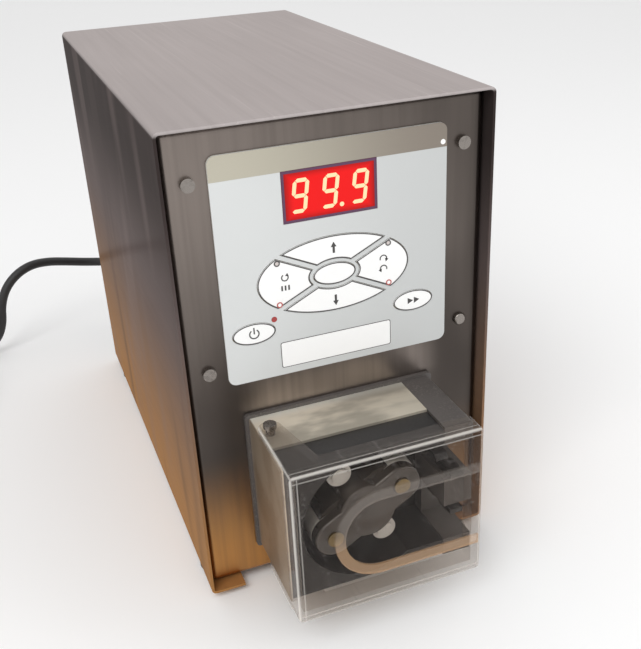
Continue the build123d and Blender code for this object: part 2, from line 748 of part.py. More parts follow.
with BuildPart() as rotor_plate:
    with BuildSketch(front(PLATE_Y)):
        with Locations(AXIS):
            Circle(HUB_R)
            SlotCenterToCenter(2 * ROLLER_AT, 2 * LOBE_R, rotation=ROTOR_TURN)
            SlotCenterToCenter(2 * GUIDE_AT, 2 * GUIDE_R - 1, rotation=ROTOR_TURN + 90)
        with Locations(AXIS):
            Circle(SHAFT_R + 0.02, mode=Mode.SUBTRACT)
        with Locations(ROLLERS + GUIDES):
            Circle(PIN_R + 0.02, mode=Mode.SUBTRACT)
    extrude(amount=PLATE_T)
save(rotor_plate.part, "rotor_plate")

with BuildPart() as rotor_body:
    with BuildSketch(front(BODY_BACK)):
        with Locations(AXIS):
            Circle(HUB_R)
            SlotCenterToCenter(1.3 * ROLLER_AT, 2 * HUB_R - 3, rotation=ROTOR_TURN)
        with Locations(ROLLERS):
            Circle(ROLLER_R + ROLLER_PLAY, mode=Mode.SUBTRACT)
        with Locations(GUIDES):
            Circle(GUIDE_R + ROLLER_PLAY, mode=Mode.SUBTRACT)
        with Locations(AXIS):
            Circle(SHAFT_R + 0.02, mode=Mode.SUBTRACT)
    extrude(amount=BODY_BACK - BODY_FRONT)
save(rotor_body.part, "rotor_body")

with BuildPart() as rotor_cap:
    with BuildSketch(front(BODY_FRONT)):
        with Locations(AXIS):
            Circle(HUB_R)
            SlotCenterToCenter(2 * ROLLER_AT, 2 * LOBE_R + 2, rotation=ROTOR_TURN)
        with Locations(ROLLERS):
            Circle(PIN_R + 0.02, mode=Mode.SUBTRACT)
    extrude(amount=CAP_T)
    fillet(rotor_cap.faces().sort_by(Axis.Y)[0].edges().filter_by(lambda e: e.length > 20), 1.2)
    with BuildSketch(front(BODY_FRONT)):
        with Locations(AXIS):
            Circle(SHAFT_R + 0.02)
    extrude(amount=BODY_FRONT - SHAFT_FRONT + 0.2, mode=Mode.SUBTRACT)
save(rotor_cap.part, "rotor_cap")

with BuildPart() as roller_pins:
    with BuildSketch(front(PLATE_Y)):
        with Locations(ROLLERS):
            Circle(PIN_R)
    extrude(amount=PLATE_Y - CAP_Y)
    with BuildSketch(front(CAP_Y)):
        with Locations(ROLLERS):
            Circle(PIN_HEAD_R)
    extrude(amount=0.8)
save(roller_pins.part, "roller_pins")

GUIDE_FRONT = BODY_FRONT + 2

with BuildPart() as guide_pins:
    with BuildSketch(front(PLATE_Y)):
        with Locations(GUIDES):
            Circle(PIN_R)
    extrude(amount=PLATE_Y - GUIDE_FRONT)
    with BuildSketch(front(GUIDE_FRONT)):
        with Locations(GUIDES):
            Circle(PIN_HEAD_R)
    extrude(amount=1.2)
save(guide_pins.part, "guide_pins")

ROLLER_L = BODY_BACK - BODY_FRONT - 2 * ROLLER_PLAY
for number, roller_at in enumerate(ROLLERS, 1):
    with BuildPart() as roller:
        with BuildSketch(front(BODY_BACK - ROLLER_PLAY)):
            with Locations(roller_at):
                Circle(ROLLER_R)
                Circle(PIN_R + FIT, mode=Mode.SUBTRACT)
        extrude(amount=ROLLER_L)
        chamfer(roller.edges().filter_by(GeomType.CIRCLE).sort_by(SortBy.RADIUS)[-2:], 0.6)
    save(roller.part, f"roller_{number}")

GUIDE_L = BODY_BACK - GUIDE_FRONT - 2 * ROLLER_PLAY
GUIDE_RIM = 2.5
for number, guide_at in enumerate(GUIDES, 1):
    with BuildPart() as guide:
        with BuildSketch(front(BODY_BACK - ROLLER_PLAY)):
            with Locations(guide_at):
                Circle(GUIDE_CORE_R)
        extrude(amount=GUIDE_L)
        for rim_y in (BODY_BACK - ROLLER_PLAY, BODY_BACK - ROLLER_PLAY - GUIDE_L + GUIDE_RIM):
            with BuildSketch(front(rim_y)):
                with Locations(guide_at):
                    Circle(GUIDE_R)
            extrude(amount=GUIDE_RIM)
        with BuildSketch(front(BODY_BACK - ROLLER_PLAY)):
            with Locations(guide_at):
                Circle(PIN_R + FIT)
        extrude(amount=GUIDE_L, mode=Mode.SUBTRACT)
    save(guide.part, f"guide_roller_{number}")

# ---- Clear guard ----

GUARD_IN_Y = GUARD_Y + GUARD_WALL
GUARD_BACK_Y = HEAD_Y - PLAY
GUARD_MID = up((GUARD_TOP + GUARD_BOTTOM) / 2)
PIVOT = (PIVOT_AT[0], RIM_Y - PIVOT_AT[1])

with BuildPart() as guard:
    with BuildSketch(front(GUARD_BACK_Y)):
        with Locations(((HEAD_LEFT + GUARD_RIGHT) / 2, GUARD_MID)):
            Rectangle(GUARD_RIGHT - HEAD_LEFT, GUARD_TOP - GUARD_BOTTOM)
    extrude(amount=GUARD_BACK_Y - GUARD_Y)
    fillet(guard.edges().filter_by(Axis.Y), GUARD_R)
    fillet(guard.faces().sort_by(Axis.Y)[0].edges(), 1.0)
    with BuildSketch(front(GUARD_BACK_Y)):
        with Locations(((HEAD_LEFT + GUARD_RIGHT) / 2, GUARD_MID)):
            Rectangle(
                GUARD_RIGHT - HEAD_LEFT - 2 * GUARD_WALL, GUARD_TOP - GUARD_BOTTOM - 2 * GUARD_WALL
            )
    extrude(amount=GUARD_BACK_Y - GUARD_IN_Y, mode=Mode.SUBTRACT)
    for arm_z in (up(GUARD_TOP) - ARM_T, up(GUARD_BOTTOM)):
        with BuildSketch(Plane.XY.offset(arm_z)):
            with Locations(PIVOT):
                Circle(PIVOT_END_R)
            Polygon(
                (HEAD_LEFT, GUARD_BACK_Y - 1), (HEAD_LEFT + ARM_ROOT_W, GUARD_BACK_Y - 1),
                (PIVOT[0] + PIVOT_END_R, PIVOT[1]), (HEAD_LEFT, PIVOT[1]), align=None,
            )
            with Locations(PIVOT):
                Circle(PIVOT_R + FIT, mode=Mode.SUBTRACT)
        extrude(amount=ARM_T)
    with BuildSketch(front(GUARD_Y)):
        with BuildLine():
            Polyline((GUARD_RIGHT - 2, AXIS[1] - RIB_R), (AXIS_X, AXIS[1] - RIB_R))
            ThreePointArc(
                (AXIS_X, AXIS[1] - RIB_R), (AXIS_X - RIB_R, AXIS[1]), (AXIS_X, AXIS[1] + RIB_R)
            )
            Polyline((AXIS_X, AXIS[1] + RIB_R), (GUARD_RIGHT - 2, AXIS[1] + RIB_R))
        trace(line_width=RIB_W)
    extrude(amount=RIB_H)
    with BuildSketch(front(GUARD_BACK_Y)):
        with Locations((GUARD_RIGHT + 0.5, up(60))):
            Rectangle(3, 8)
    extrude(amount=5)
save(guard.part, "guard")

with BuildPart() as guard_pivots:
    for face_z, out in ((up(GUARD_TOP), 1), (up(GUARD_BOTTOM), -1)):
        with BuildSketch(Plane.XY.offset(face_z + 0.1 * out)):
            with Locations(PIVOT):
                Circle(M3_HEAD_R)
        extrude(amount=1.8 * out)
        with BuildSketch(Plane.XY.offset(face_z + 0.1 * out)):
            with Locations(PIVOT):
                Circle(PIVOT_R)
        extrude(amount=-10 * out)
save(guard_pivots.part, "guard_pivots")

# ---- Mains side ----

with BuildPart() as power_supply:
    with BuildSketch(level(SHEET + BASE_T + SUPPLY_LEG)):
        with Locations((SUPPLY_X, SUPPLY_Y)):
            Rectangle(SUPPLY_W, SUPPLY_D)
    extrude(amount=SUPPLY_H)
    with BuildSketch(level(SHEET + BASE_T)):
        with Locations(SUPPLY_HOLES):
            Circle(3.5)
    extrude(amount=SUPPLY_LEG)
    with BuildSketch(level(SHEET + BASE_T)):
        with Locations(SUPPLY_HOLES):
            Circle(M3_R + FIT)
    extrude(amount=SUPPLY_LEG + 6, mode=Mode.SUBTRACT)
save(power_supply.part, "power_supply")

with BuildPart() as supply_screws:
    with BuildSketch(level(-1)):
        with Locations(SUPPLY_HOLES):
            Circle(M3_HEAD_R)
    extrude(amount=SHEET + 1)
    with BuildSketch(level(SHEET)):
        with Locations(SUPPLY_HOLES):
            Circle(M3_R)
    extrude(amount=BASE_T + SUPPLY_LEG + 4)
save(supply_screws.part, "supply_screws")

with BuildPart() as fuse_holder:
    with BuildSketch(front(REAR_Y)):
        with Locations((FUSE_X, up(FUSE_Z))):
            Circle(FUSE_R + 2)
    extrude(amount=-2)
    with BuildSketch(front(REAR_Y + 2)):
        with Locations((FUSE_X, up(FUSE_Z))):
            Circle(FUSE_R)
    extrude(amount=-3)
    with BuildSketch(front(REAR_Y + 5)):
        with Locations((FUSE_X, up(FUSE_Z))):
            Rectangle(1.2, 8)
    extrude(amount=1.5, mode=Mode.SUBTRACT)
    with BuildSketch(front(REAR_Y)):
        with Locations((FUSE_X, up(FUSE_Z))):
            Circle(FUSE_R)
    extrude(amount=24)
save(fuse_holder.part, "fuse_holder")

GLAND_AT = (GLAND_X, up(GLAND_Z))

with BuildPart() as cable_gland:
    with BuildSketch(front(REAR_Y)):
        with Locations(GLAND_AT):
            RegularPolygon(GLAND_R + 2.5, 6)
    extrude(amount=-4)
    with BuildSketch(front(REAR_Y + 4)):
        with Locations(GLAND_AT):
            Circle(GLAND_R)
    with BuildSketch(front(REAR_Y + GLAND_L)):
        with Locations(GLAND_AT):
            Circle(CORD_R + 1.0)
    loft()
    with BuildSketch(front(REAR_Y)):
        with Locations(GLAND_AT):
            Circle(GLAND_R)
    extrude(amount=10)
    with BuildSketch(front(REAR_Y - 10)):
        with Locations(GLAND_AT):
            Circle(CORD_R + 0.1)
    extrude(amount=-(GLAND_L + 10), mode=Mode.SUBTRACT)
save(cable_gland.part, "cable_gland")

with BuildPart() as gland_nut:
    with BuildSketch(front(REAR_Y - TRAY_T)):
        with Locations(GLAND_AT):
            RegularPolygon(GLAND_R + 3, 6)
            Circle(GLAND_R + FIT, mode=Mode.SUBTRACT)
    extrude(amount=4)
save(gland_nut.part, "gland_nut")

# The lead leaves the gland, swings round to the left, arches and drops to the floor
FLOOR_Z = CORD_R
EXIT_Y = REAR_Y + GLAND_L
CORD_POINTS = [
    (-38.0, EXIT_Y, up(43.0)),
    (-38.0, EXIT_Y + 16.0, up(43.1)),
    (-45.3, EXIT_Y + 30.3, up(43.4)),
    (-58.3, EXIT_Y + 39.5, up(44.2)),
    (-74.0, EXIT_Y + 41.5, up(46.2)),
    (-88.0, EXIT_Y + 37.5, up(50.8)),
    (-100.5, EXIT_Y + 32.0, up(55.2)),
    (-112.5, EXIT_Y + 27.5, up(56.4)),
    (-123.5, EXIT_Y + 24.0, up(52.2)),
    (-131.9, EXIT_Y + 21.5, up(44.0)),
    (-136.5, EXIT_Y + 20.5, up(33.0)),
    (-138.0, EXIT_Y + 20.0, up(21.6)),
    (-142.0, EXIT_Y + 20.2, up(11.7)),
    (-149.6, EXIT_Y + 20.6, up(4.1)),
    (-159.6, EXIT_Y + 21.4, FLOOR_Z),
    (-175.5, COIL_AT[1] + 41.0, FLOOR_Z),
]


def arc_radii(points):
    """Radius of each corner: as large as the shorter run beside it allows."""
    radii = []
    for before, here, after in zip(points, points[1:], points[2:]):
        arrive = Vector(*here) - Vector(*before)
        leave = Vector(*after) - Vector(*here)
        half_turn = math.radians(arrive.get_angle(leave)) / 2
        radii.append(0.45 * min(arrive.length, leave.length) / math.tan(half_turn))
    return radii


CORD_RADII = arc_radii(CORD_POINTS)
print("cord radii", [round(r, 1) for r in CORD_RADII])
CORD_HEADING = Vector(*CORD_POINTS[1]) - Vector(*CORD_POINTS[0])

with BuildPart() as power_cord:
    with BuildLine() as cord_line:
        FilletPolyline(*CORD_POINTS, radius=CORD_RADII)
    with BuildSketch(Plane(CORD_POINTS[0], x_dir=(1, 0, 0), z_dir=CORD_HEADING)):
        Circle(CORD_R)
    sweep()
print("cord volume", power_cord.part.volume, cord_line.wire().length * math.pi * CORD_R**2)
save(power_cord.part, "power_cord")

with BuildPart() as cord_coil:
    with BuildSketch(Plane.XY):
        with Locations(COIL_AT):
            Circle(COIL_OUT_R)
            Circle(COIL_IN_R, mode=Mode.SUBTRACT)
    extrude(amount=COIL_H)
    fillet(cord_coil.edges().filter_by(GeomType.CIRCLE), 2)
save(cord_coil.part, "cord_coil")

LEAD_X = COIL_AT[0] - COIL_OUT_R + CORD_R
LEAD_START = COIL_AT[1] - 16.0
PLUG_BACK = LEAD_START - LEAD_L
LEAD_Z = PLUG_H / 2

with BuildPart() as plug_lead:
    with BuildSketch(front(LEAD_START)):
        with Locations((LEAD_X, LEAD_Z)):
            Circle(CORD_R)
    extrude(amount=LEAD_L + 2)
save(plug_lead.part, "plug_lead")

with BuildPart() as mains_plug:
    with BuildSketch(front(PLUG_BACK)):
        with Locations((LEAD_X, LEAD_Z)):
            Circle(CORD_R + 1.2)
    with BuildSketch(front(PLUG_BACK - RELIEF_L)):
        with Locations((LEAD_X, LEAD_Z)):
            Circle(CORD_R + 4)
    loft()
    with BuildSketch(front(PLUG_BACK - RELIEF_L)):
        with Locations((LEAD_X, LEAD_Z)):
            RectangleRounded(PLUG_W, PLUG_H, 6)
    extrude(amount=PLUG_L)
    fillet(mains_plug.faces().sort_by(Axis.Y)[0].edges(), 1.5)
    with BuildSketch(front(PLUG_BACK)):
        with Locations((LEAD_X, LEAD_Z)):
            Circle(CORD_R + 0.1)
    extrude(amount=4, mode=Mode.SUBTRACT)
save(mains_plug.part, "mains_plug")

PLUG_FACE = PLUG_BACK - RELIEF_L - PLUG_L

with BuildPart() as plug_pins:
    with BuildSketch(front(PLUG_FACE)):
        with Locations((LEAD_X - 6.35, LEAD_Z - 3), (LEAD_X + 6.35, LEAD_Z - 3)):
            Rectangle(1.5, 6.3)
        with Locations((LEAD_X, LEAD_Z + 5)):
            Circle(2.4)
    extrude(amount=17)
save(plug_pins.part, "plug_pins")
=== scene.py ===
"""Looks of a bench peristaltic pump: finishes, printed keypad, lit digits, mains lead and studio."""
import json
import math

import bmesh
import bpy
from mathutils import Matrix, Vector


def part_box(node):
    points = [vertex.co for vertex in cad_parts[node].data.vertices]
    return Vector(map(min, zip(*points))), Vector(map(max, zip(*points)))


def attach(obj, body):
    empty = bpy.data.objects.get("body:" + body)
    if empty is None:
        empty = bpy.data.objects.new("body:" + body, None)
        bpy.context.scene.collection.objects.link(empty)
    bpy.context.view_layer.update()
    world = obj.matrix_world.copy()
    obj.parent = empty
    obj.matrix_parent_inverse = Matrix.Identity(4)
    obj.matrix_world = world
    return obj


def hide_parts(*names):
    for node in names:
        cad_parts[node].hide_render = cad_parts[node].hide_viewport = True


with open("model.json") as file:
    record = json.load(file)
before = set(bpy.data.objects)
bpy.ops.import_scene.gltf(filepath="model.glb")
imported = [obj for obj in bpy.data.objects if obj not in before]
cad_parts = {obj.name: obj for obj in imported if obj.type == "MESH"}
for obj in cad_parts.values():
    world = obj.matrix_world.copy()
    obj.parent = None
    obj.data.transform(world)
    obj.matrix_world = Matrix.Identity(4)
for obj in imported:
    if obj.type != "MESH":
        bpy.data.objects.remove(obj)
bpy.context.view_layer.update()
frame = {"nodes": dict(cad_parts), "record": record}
NODES = frame["nodes"]

bl_info = {
    "name": "Bench Peristaltic Pump",
    "version": (1, 0, 0),
    "blender": (4, 5, 0),
    "location": "3D View > Sidebar > Pump",
    "description": "Finishes, keypad print, digits, mains lead and studio of a bench pump",
    "category": "Object",
}

MM = 0.001
SKIN = 0.02 * MM

# Places read from the frame
PAD_LOW, PAD_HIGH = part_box("keypad_overlay")
PAD_Y = PAD_LOW[1]
WINDOW_LOW, WINDOW_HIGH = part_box("display_window")
WINDOW_X = (WINDOW_LOW[0] + WINDOW_HIGH[0]) / 2
WINDOW_Z = (WINDOW_LOW[2] + WINDOW_HIGH[2]) / 2
CASE_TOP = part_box("outer_shell")[1][2]
HOOD_LOW, HOOD_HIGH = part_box("head_hood")
GUARD_LOW, GUARD_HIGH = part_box("guard")
COIL_LOW, COIL_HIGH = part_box("cord_coil")
PLUG_LOW, PLUG_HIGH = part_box("mains_plug")

# Sizes of the guard, as its CAD has them
RIB_HEIGHT = 1.4 * MM
GUARD_WALL = 3.0 * MM


# ---- Sizes and colours ----


def colour(name, description, red, green, blue):
    """A colour property."""
    return bpy.props.FloatVectorProperty(
        name=name, description=description, subtype="COLOR", size=3, min=0, max=1,
        default=(red, green, blue),
    )


def length(name, description, millimetres):
    """A length property, in metres."""
    return bpy.props.FloatProperty(
        name=name, description=description, unit="LENGTH", min=0, default=millimetres * MM
    )


class PumpSizes(bpy.types.PropertyGroup):
    """Sizes of the printed and moulded details."""

    print_depth: length("Print", "Thickness of a printed mark", 0.04)
    outline: length("Outline", "Width of the line round a key", 0.45)
    band_height: length("Band", "Height of the bare band at the keypad's top", 10.2)
    label_width: length("Label width", "Width of the blank label", 50.8)
    label_height: length("Label height", "Height of the blank label", 12.1)
    window_border: length("Window border", "Width of the dark border of the window", 1.1)
    digit_height: length("Digit height", "Height of a lit digit", 14.2)
    digit_width: length("Digit width", "Width of a lit digit, upright", 6.9)
    digit_pitch: length("Digit pitch", "Distance from digit to digit", 12.85)
    stroke: length("Stroke", "Width of a lit segment", 1.6)
    slant: bpy.props.FloatProperty(
        name="Slant", description="Lean of the digits", unit="ROTATION", default=math.radians(8)
    )
    lead_diameter: length("Lead", "Diameter of the mains lead", 6.0)


class PumpColours(bpy.types.PropertyGroup):
    """Colours of the finishes."""

    top_steel: colour("Case top", "Satin steel on top of the case", 0.58, 0.53, 0.52)
    # Painted dark reflection: the sides' steel is darker than the top's
    side_steel: colour("Case side", "Polished steel of the case's sides", 0.125, 0.098, 0.093)
    # Painted warm reflection of the bench, on the case's sides and the panels near the bench
    painted_bench_reflection: colour("Warm steel", "Steel near the bench", 0.44, 0.215, 0.07)
    # The panels' steel is painted dark, as a painted dark reflection
    panel_steel: colour("Panel", "Upright brushed steel of the panels", 0.17, 0.145, 0.13)
    hood_steel: colour("Hood", "Brushed steel over the pump head", 0.82, 0.75, 0.62)
    # Painted warm reflection of the bench on the hood's left side
    hood_bench_reflection: colour("Hood flank", "Left side of the hood, which the bench tints", 0.19, 0.115, 0.06)
    film: colour("Keypad film", "Printed film of the keypad", 0.62, 0.635, 0.63)
    ink: colour("Ink", "Dark ink of the keypad", 0.06, 0.055, 0.055)
    red_ink: colour("Red ink", "Ring of the lower dot on a key", 0.42, 0.09, 0.08)
    pale_ink: colour("Pale ink", "Middle of the upper dot on a key", 0.55, 0.50, 0.48)
    border_ink: colour("Border ink", "Border of the window", 0.085, 0.03, 0.075)
    key: colour("Keys", "White keys", 0.95, 0.95, 0.94)
    window: colour("Window", "Red window of the display", 0.78, 0.006, 0.006)
    glow: colour("Digits", "Lit segments", 1.0, 0.78, 0.46)
    block: colour("Head block", "Black moulding of the pump head", 0.014, 0.012, 0.0115)
    strip: colour("Clamp frame", "Dusty grey moulding beside the block", 0.085, 0.075, 0.07)
    rotor: colour("Rotor", "Smoky moulding of the rotor", 0.04, 0.032, 0.026)
    nylon: colour("Rollers", "White nylon of the rollers", 0.72, 0.70, 0.66)
    brass: colour("Brass", "Turned brass of the pins", 0.75, 0.56, 0.28)
    rubber: colour("Rubber", "Feet, lead and plug", 0.018, 0.017, 0.017)


class PumpStudio(bpy.types.PropertyGroup):
    """Lamps and floor of the studio."""

    floor_colour: colour("Floor", "Plain pale floor", 0.96, 0.96, 0.96)
    floor_size: length("Floor size", "Side of the floor", 12000)
    sky: bpy.props.FloatProperty(name="Sky", description="Even light from all round", default=0.8)
    key_power: bpy.props.FloatProperty(
        name="Key lamp", description="Large soft lamp at the upper left", unit="POWER", default=6.5
    )
    fill_power: bpy.props.FloatProperty(
        name="Fill lamp", description="Soft lamp at the right", unit="POWER", default=2.0
    )


# ---- Shading ----


class Signal:
    """A node's output, which Python arithmetic extends with Math nodes."""

    def __init__(self, shading, socket):
        self.shading = shading
        self.socket = socket

    def __add__(self, other):
        return self.shading.math("ADD", self, other)

    def __sub__(self, other):
        return self.shading.math("SUBTRACT", self, other)

    def __rsub__(self, other):
        return self.shading.math("SUBTRACT", other, self)

    def __mul__(self, other):
        return self.shading.math("MULTIPLY", self, other)

    def __pow__(self, other):
        return self.shading.math("POWER", self, other)

    __radd__ = __add__
    __rmul__ = __mul__

    def least(self, other):
        """The smaller of the two."""
        return self.shading.math("MINIMUM", self, other)

    def most(self, other):
        """The larger of the two."""
        return self.shading.math("MAXIMUM", self, other)

    def magnitude(self):
        """The value without its sign."""
        return self.shading.math("ABSOLUTE", self)

    def step(self, low, high):
        """0 below low, 1 above high and a smooth rise between them."""
        return self.shading.node(
            "ShaderNodeMapRange", {"interpolation_type": "SMOOTHSTEP"},
            {"Value": self, "From Min": low, "From Max": high},
        )


class Shading:
    """The nodes of one material or of the world."""

    def __init__(self, tree, shader):
        self.tree = tree
        tree.nodes.clear()
        self.shader = tree.nodes.new(shader)
        self.end = None

    def plug(self, socket, value):
        """Links a signal to a socket, or sets the socket's own value."""
        if isinstance(value, Signal):
            self.tree.links.new(value.socket, socket)
        elif socket.type == "RGBA":
            socket.default_value = (*value[:3], 1)
        else:
            socket.default_value = value

    def node(self, kind, settings=None, values=None, out=0):
        """A node of a kind, with its settings first and then the values or links of its sockets."""
        made = self.tree.nodes.new(kind)
        for name, value in (settings or {}).items():
            setattr(made, name, value)
        for key, value in (values or {}).items():
            self.plug(made.inputs[key], value)
        return Signal(self, made.outputs[out])

    def math(self, operation, *values):
        """A Math node on these values."""
        return self.node("ShaderNodeMath", {"operation": operation}, dict(enumerate(values)))

    def surface(self, **values):
        """Sets the shader's sockets, named in lower case with underscores."""
        sockets = {socket.name.lower().replace(" ", "_"): socket for socket in self.shader.inputs}
        for name, value in values.items():
            self.plug(sockets[name], value)

    def place(self, scale=(1, 1, 1), turn=(0, 0, 0)):
        """Object coordinates in metres, scaled and turned."""
        coordinates = self.node("ShaderNodeTexCoord", out="Object")
        return self.node(
            "ShaderNodeMapping", None, {"Vector": coordinates, "Scale": scale, "Rotation": turn}
        )

    def axis(self, name):
        """One Object coordinate, in metres."""
        coordinates = self.node("ShaderNodeTexCoord", out="Object")
        return self.node("ShaderNodeSeparateXYZ", None, {0: coordinates}, out=name)

    def noise(self, place, scale, detail=2.0):
        """Noise from 0 to 1 with so many waves a metre."""
        return self.node("ShaderNodeTexNoise", None, {"Vector": place, "Scale": scale, "Detail": detail})

    def mix(self, factor, first, second):
        """A colour between two."""
        return self.node("ShaderNodeMix", {"data_type": "RGBA"}, {0: factor, 6: first, 7: second}, out=2)

    def bump(self, height, distance, strength=1.0):
        """Feeds a height, times a distance in metres, to the shader's normal."""
        normal = self.node(
            "ShaderNodeBump", None, {"Height": height, "Distance": distance, "Strength": strength}
        )
        self.surface(normal=normal)


def new_finish(name):
    """A material with one Principled shader."""
    material = bpy.data.materials.new(name)
    material.use_nodes = True
    shading = Shading(material.node_tree, "ShaderNodeBsdfPrincipled")
    shading.end = material.node_tree.nodes.new("ShaderNodeOutputMaterial")
    shading.plug(shading.end.inputs["Surface"], Signal(shading, shading.shader.outputs[0]))
    return material, shading


def shade_of(tint, amount):
    """A colour made darker or lighter."""
    return tuple(min(1.0, part * amount) for part in tint)


# Brush lines in waves a metre, and how far they are drawn out along the metal
FINE_GRAIN = 2600
COARSE_GRAIN = 330
GRAIN_STRETCH = 0.02

# Stretches over which the steel's painted light changes: the painted warm reflection of the bench, painted
# shade and a painted highlight; heights, and distances from the middle
SIDE_BENCH_REFLECTION = (-20 * MM, 150 * MM)
SIDE_SHADE = (130 * MM, 200 * MM)
PANEL_BENCH_REFLECTION = (10 * MM, 75 * MM)
PANEL_SHADE = (90 * MM, 200 * MM)
SHINE_LOW = (88 * MM, 94 * MM)
SHINE_HIGH = (100 * MM, 118 * MM)
SHINE_SIDES = (30 * MM, 50 * MM)


def brushing(shading, along):
    """Fine and coarse brush lines that run along an axis, each from 0 to 1."""
    stretch = [1, 1, 1]
    stretch["XYZ".index(along)] = GRAIN_STRETCH
    place = shading.place(scale=stretch)
    return shading.noise(place, FINE_GRAIN), shading.noise(place, COARSE_GRAIN, 3)


def scratches(shading, turn, waves, rare):
    """Thin straight scratches at an angle, 1 on a scratch."""
    place = shading.place(scale=(1, 0.012, 1), turn=turn)
    return shading.noise(place, waves, 1).step(rare, rare + 0.03)


def shell_steel(tints):
    """Bent case: satin on top; polished sides with a painted dark reflection, painted reflection streaks,
    painted shade towards their top and a painted warm reflection of the bench low down.
    """
    material, shading = new_finish("case_steel")
    height = shading.axis("Z")
    on_top = height.step(CASE_TOP - 2.4 * MM, CASE_TOP - 0.4 * MM)
    fine, coarse = brushing(shading, "Y")
    clouds = shading.noise(shading.place(scale=(1, 0.35, 1)), 14, 3)
    marks = scratches(shading, (0, 0, 0.25), 620, 0.70).most(scratches(shading, (0, 0, -0.12), 900, 0.73))
    # Painted warm reflection of the bench: the sides turn warm near the bench
    side = shading.mix(1 - height.step(*SIDE_BENCH_REFLECTION), tints.side_steel, tints.painted_bench_reflection)
    # Painted shade: the sides darken towards their top
    side = shading.mix(height.step(*SIDE_SHADE) * 0.85, side, shade_of(tints.side_steel, 0.15))
    # Painted reflection streaks: upright waves make the sides lighter and darker in bands
    waves = shading.noise(shading.place(scale=(1, 1, 0.16)), 26, 2)
    side = shading.mix(waves.step(0.5, 0.66) * 0.3, side, shade_of(tints.side_steel, 1.8))
    side = shading.mix((1 - waves.step(0.34, 0.46)) * 0.4, side, shade_of(tints.side_steel, 0.5))
    top = shading.mix(clouds.step(0.3, 0.7) * 0.5, tints.top_steel, shade_of(tints.top_steel, 0.86))
    top = shading.mix(marks * 0.35, top, shade_of(tints.top_steel, 1.3))
    tone = shading.mix(on_top, side, top)
    tone = shading.mix(coarse * 0.22, tone, shade_of(tints.side_steel, 0.5))
    rough = on_top * 0.24 + 0.16 + fine * 0.1
    shading.surface(
        base_color=tone, metallic=on_top * 0.85 + 0.15, roughness=rough, specular_ior_level=0.0,
        specular_tint=(0.62, 0.59, 0.58),
    )
    shading.bump(fine * 0.6 + coarse * 0.4 - marks * 0.8, 0.012 * MM, 0.5)
    return material


def panel_steel(tints):
    """Upright brushed panels with painted light and shade: lighter at the upper left, darker to the right
    and low down, a painted warm reflection of the bench near the bench and a painted highlight over the
    head.
    """
    material, shading = new_finish("panel_steel")
    across = shading.axis("X")
    height = shading.axis("Z")
    behind = shading.axis("Y").step(0, 50 * MM)
    fine, coarse = brushing(shading, "Z")
    clouds = shading.noise(shading.place(scale=(1, 1, 0.5)), 11, 3)
    # Painted light and shade: lighter to the left, darker to the right
    tone = shading.mix(
        across.step(-70 * MM, 70 * MM), shade_of(tints.panel_steel, 1.4), shade_of(tints.panel_steel, 0.5)
    )
    # Painted shade: darker low down, more so towards the sides
    outside = across.magnitude().step(30 * MM, 55 * MM)
    dim = (1 - height.step(*PANEL_SHADE)) * (outside * 0.5 + 0.3)
    tone = shading.mix(dim, tone, shade_of(tints.panel_steel, 0.16))
    # Painted highlight over the head, on the front panel only
    shine = height.step(*SHINE_LOW) * (1 - height.step(*SHINE_HIGH))
    shine = shine * (1 - across.magnitude().step(*SHINE_SIDES)) * (1 - behind)
    tone = shading.mix(shine * 0.5, tone, shade_of(tints.panel_steel, 2.6))
    # Painted warm reflection of the bench low down, weaker to the right and at the back
    right = across.step(-50 * MM, -10 * MM)
    bench_reflection_mask = (1 - height.step(*PANEL_BENCH_REFLECTION)) * (1 - right * 0.5) * (1 - behind * 0.5)
    tone = shading.mix(bench_reflection_mask, tone, shade_of(tints.painted_bench_reflection, 1.15))
    tone = shading.mix(clouds.step(0.45, 0.75) * 0.35, tone, shade_of(tints.panel_steel, 1.6))
    tone = shading.mix(coarse.step(0.3, 0.8) * 0.25, tone, shade_of(tints.panel_steel, 0.45))
    shading.surface(base_color=tone, metallic=1.0, roughness=fine * 0.16 + 0.26)
    shading.bump(fine * 0.6 + coarse * 0.4, 0.015 * MM, 0.6)
    return material


def hood_steel(tints):
    """Brushed hood with rubbed and smeared patches, a painted highlight along its back, painted shade to the
    right and a painted warm reflection of the bench on its left side.
    """
    material, shading = new_finish("hood_steel")
    fine, coarse = brushing(shading, "X")
    patches = shading.noise(shading.place(scale=(0.6, 1.4, 1), turn=(0, 0, 0.5)), 34, 4)
    light = shade_of(tints.hood_steel, 1.15)
    dark = shade_of(tints.hood_steel, 0.5)
    tone = shading.mix(patches.step(0.42, 0.6), light, dark)
    # Painted highlight along the back of the hood
    back = shading.axis("Y").step(HOOD_HIGH[1] - 6 * MM, HOOD_HIGH[1])
    tone = shading.mix(back * 0.6, tone, shade_of(tints.hood_steel, 1.5))
    # Painted shade: darker to the right
    across = shading.axis("X").step(HOOD_LOW[0] + 10 * MM, HOOD_HIGH[0])
    tone = shading.mix(across * 0.5, tone, dark)
    # Painted warm reflection of the bench on the left side
    left_side_reflection = 1 - shading.axis("X").step(HOOD_LOW[0] + 0.2 * MM, HOOD_LOW[0] + 1.0 * MM)
    tone = shading.mix(left_side_reflection * 0.85, tone, tints.hood_bench_reflection)
    tone = shading.mix(coarse * 0.25, tone, shade_of(tints.hood_steel, 0.4))
    shading.surface(base_color=tone, metallic=0.55, roughness=fine * 0.15 + patches * 0.1 + 0.34)
    shading.bump(fine * 0.5 + coarse * 0.5, 0.015 * MM, 0.6)
    return material


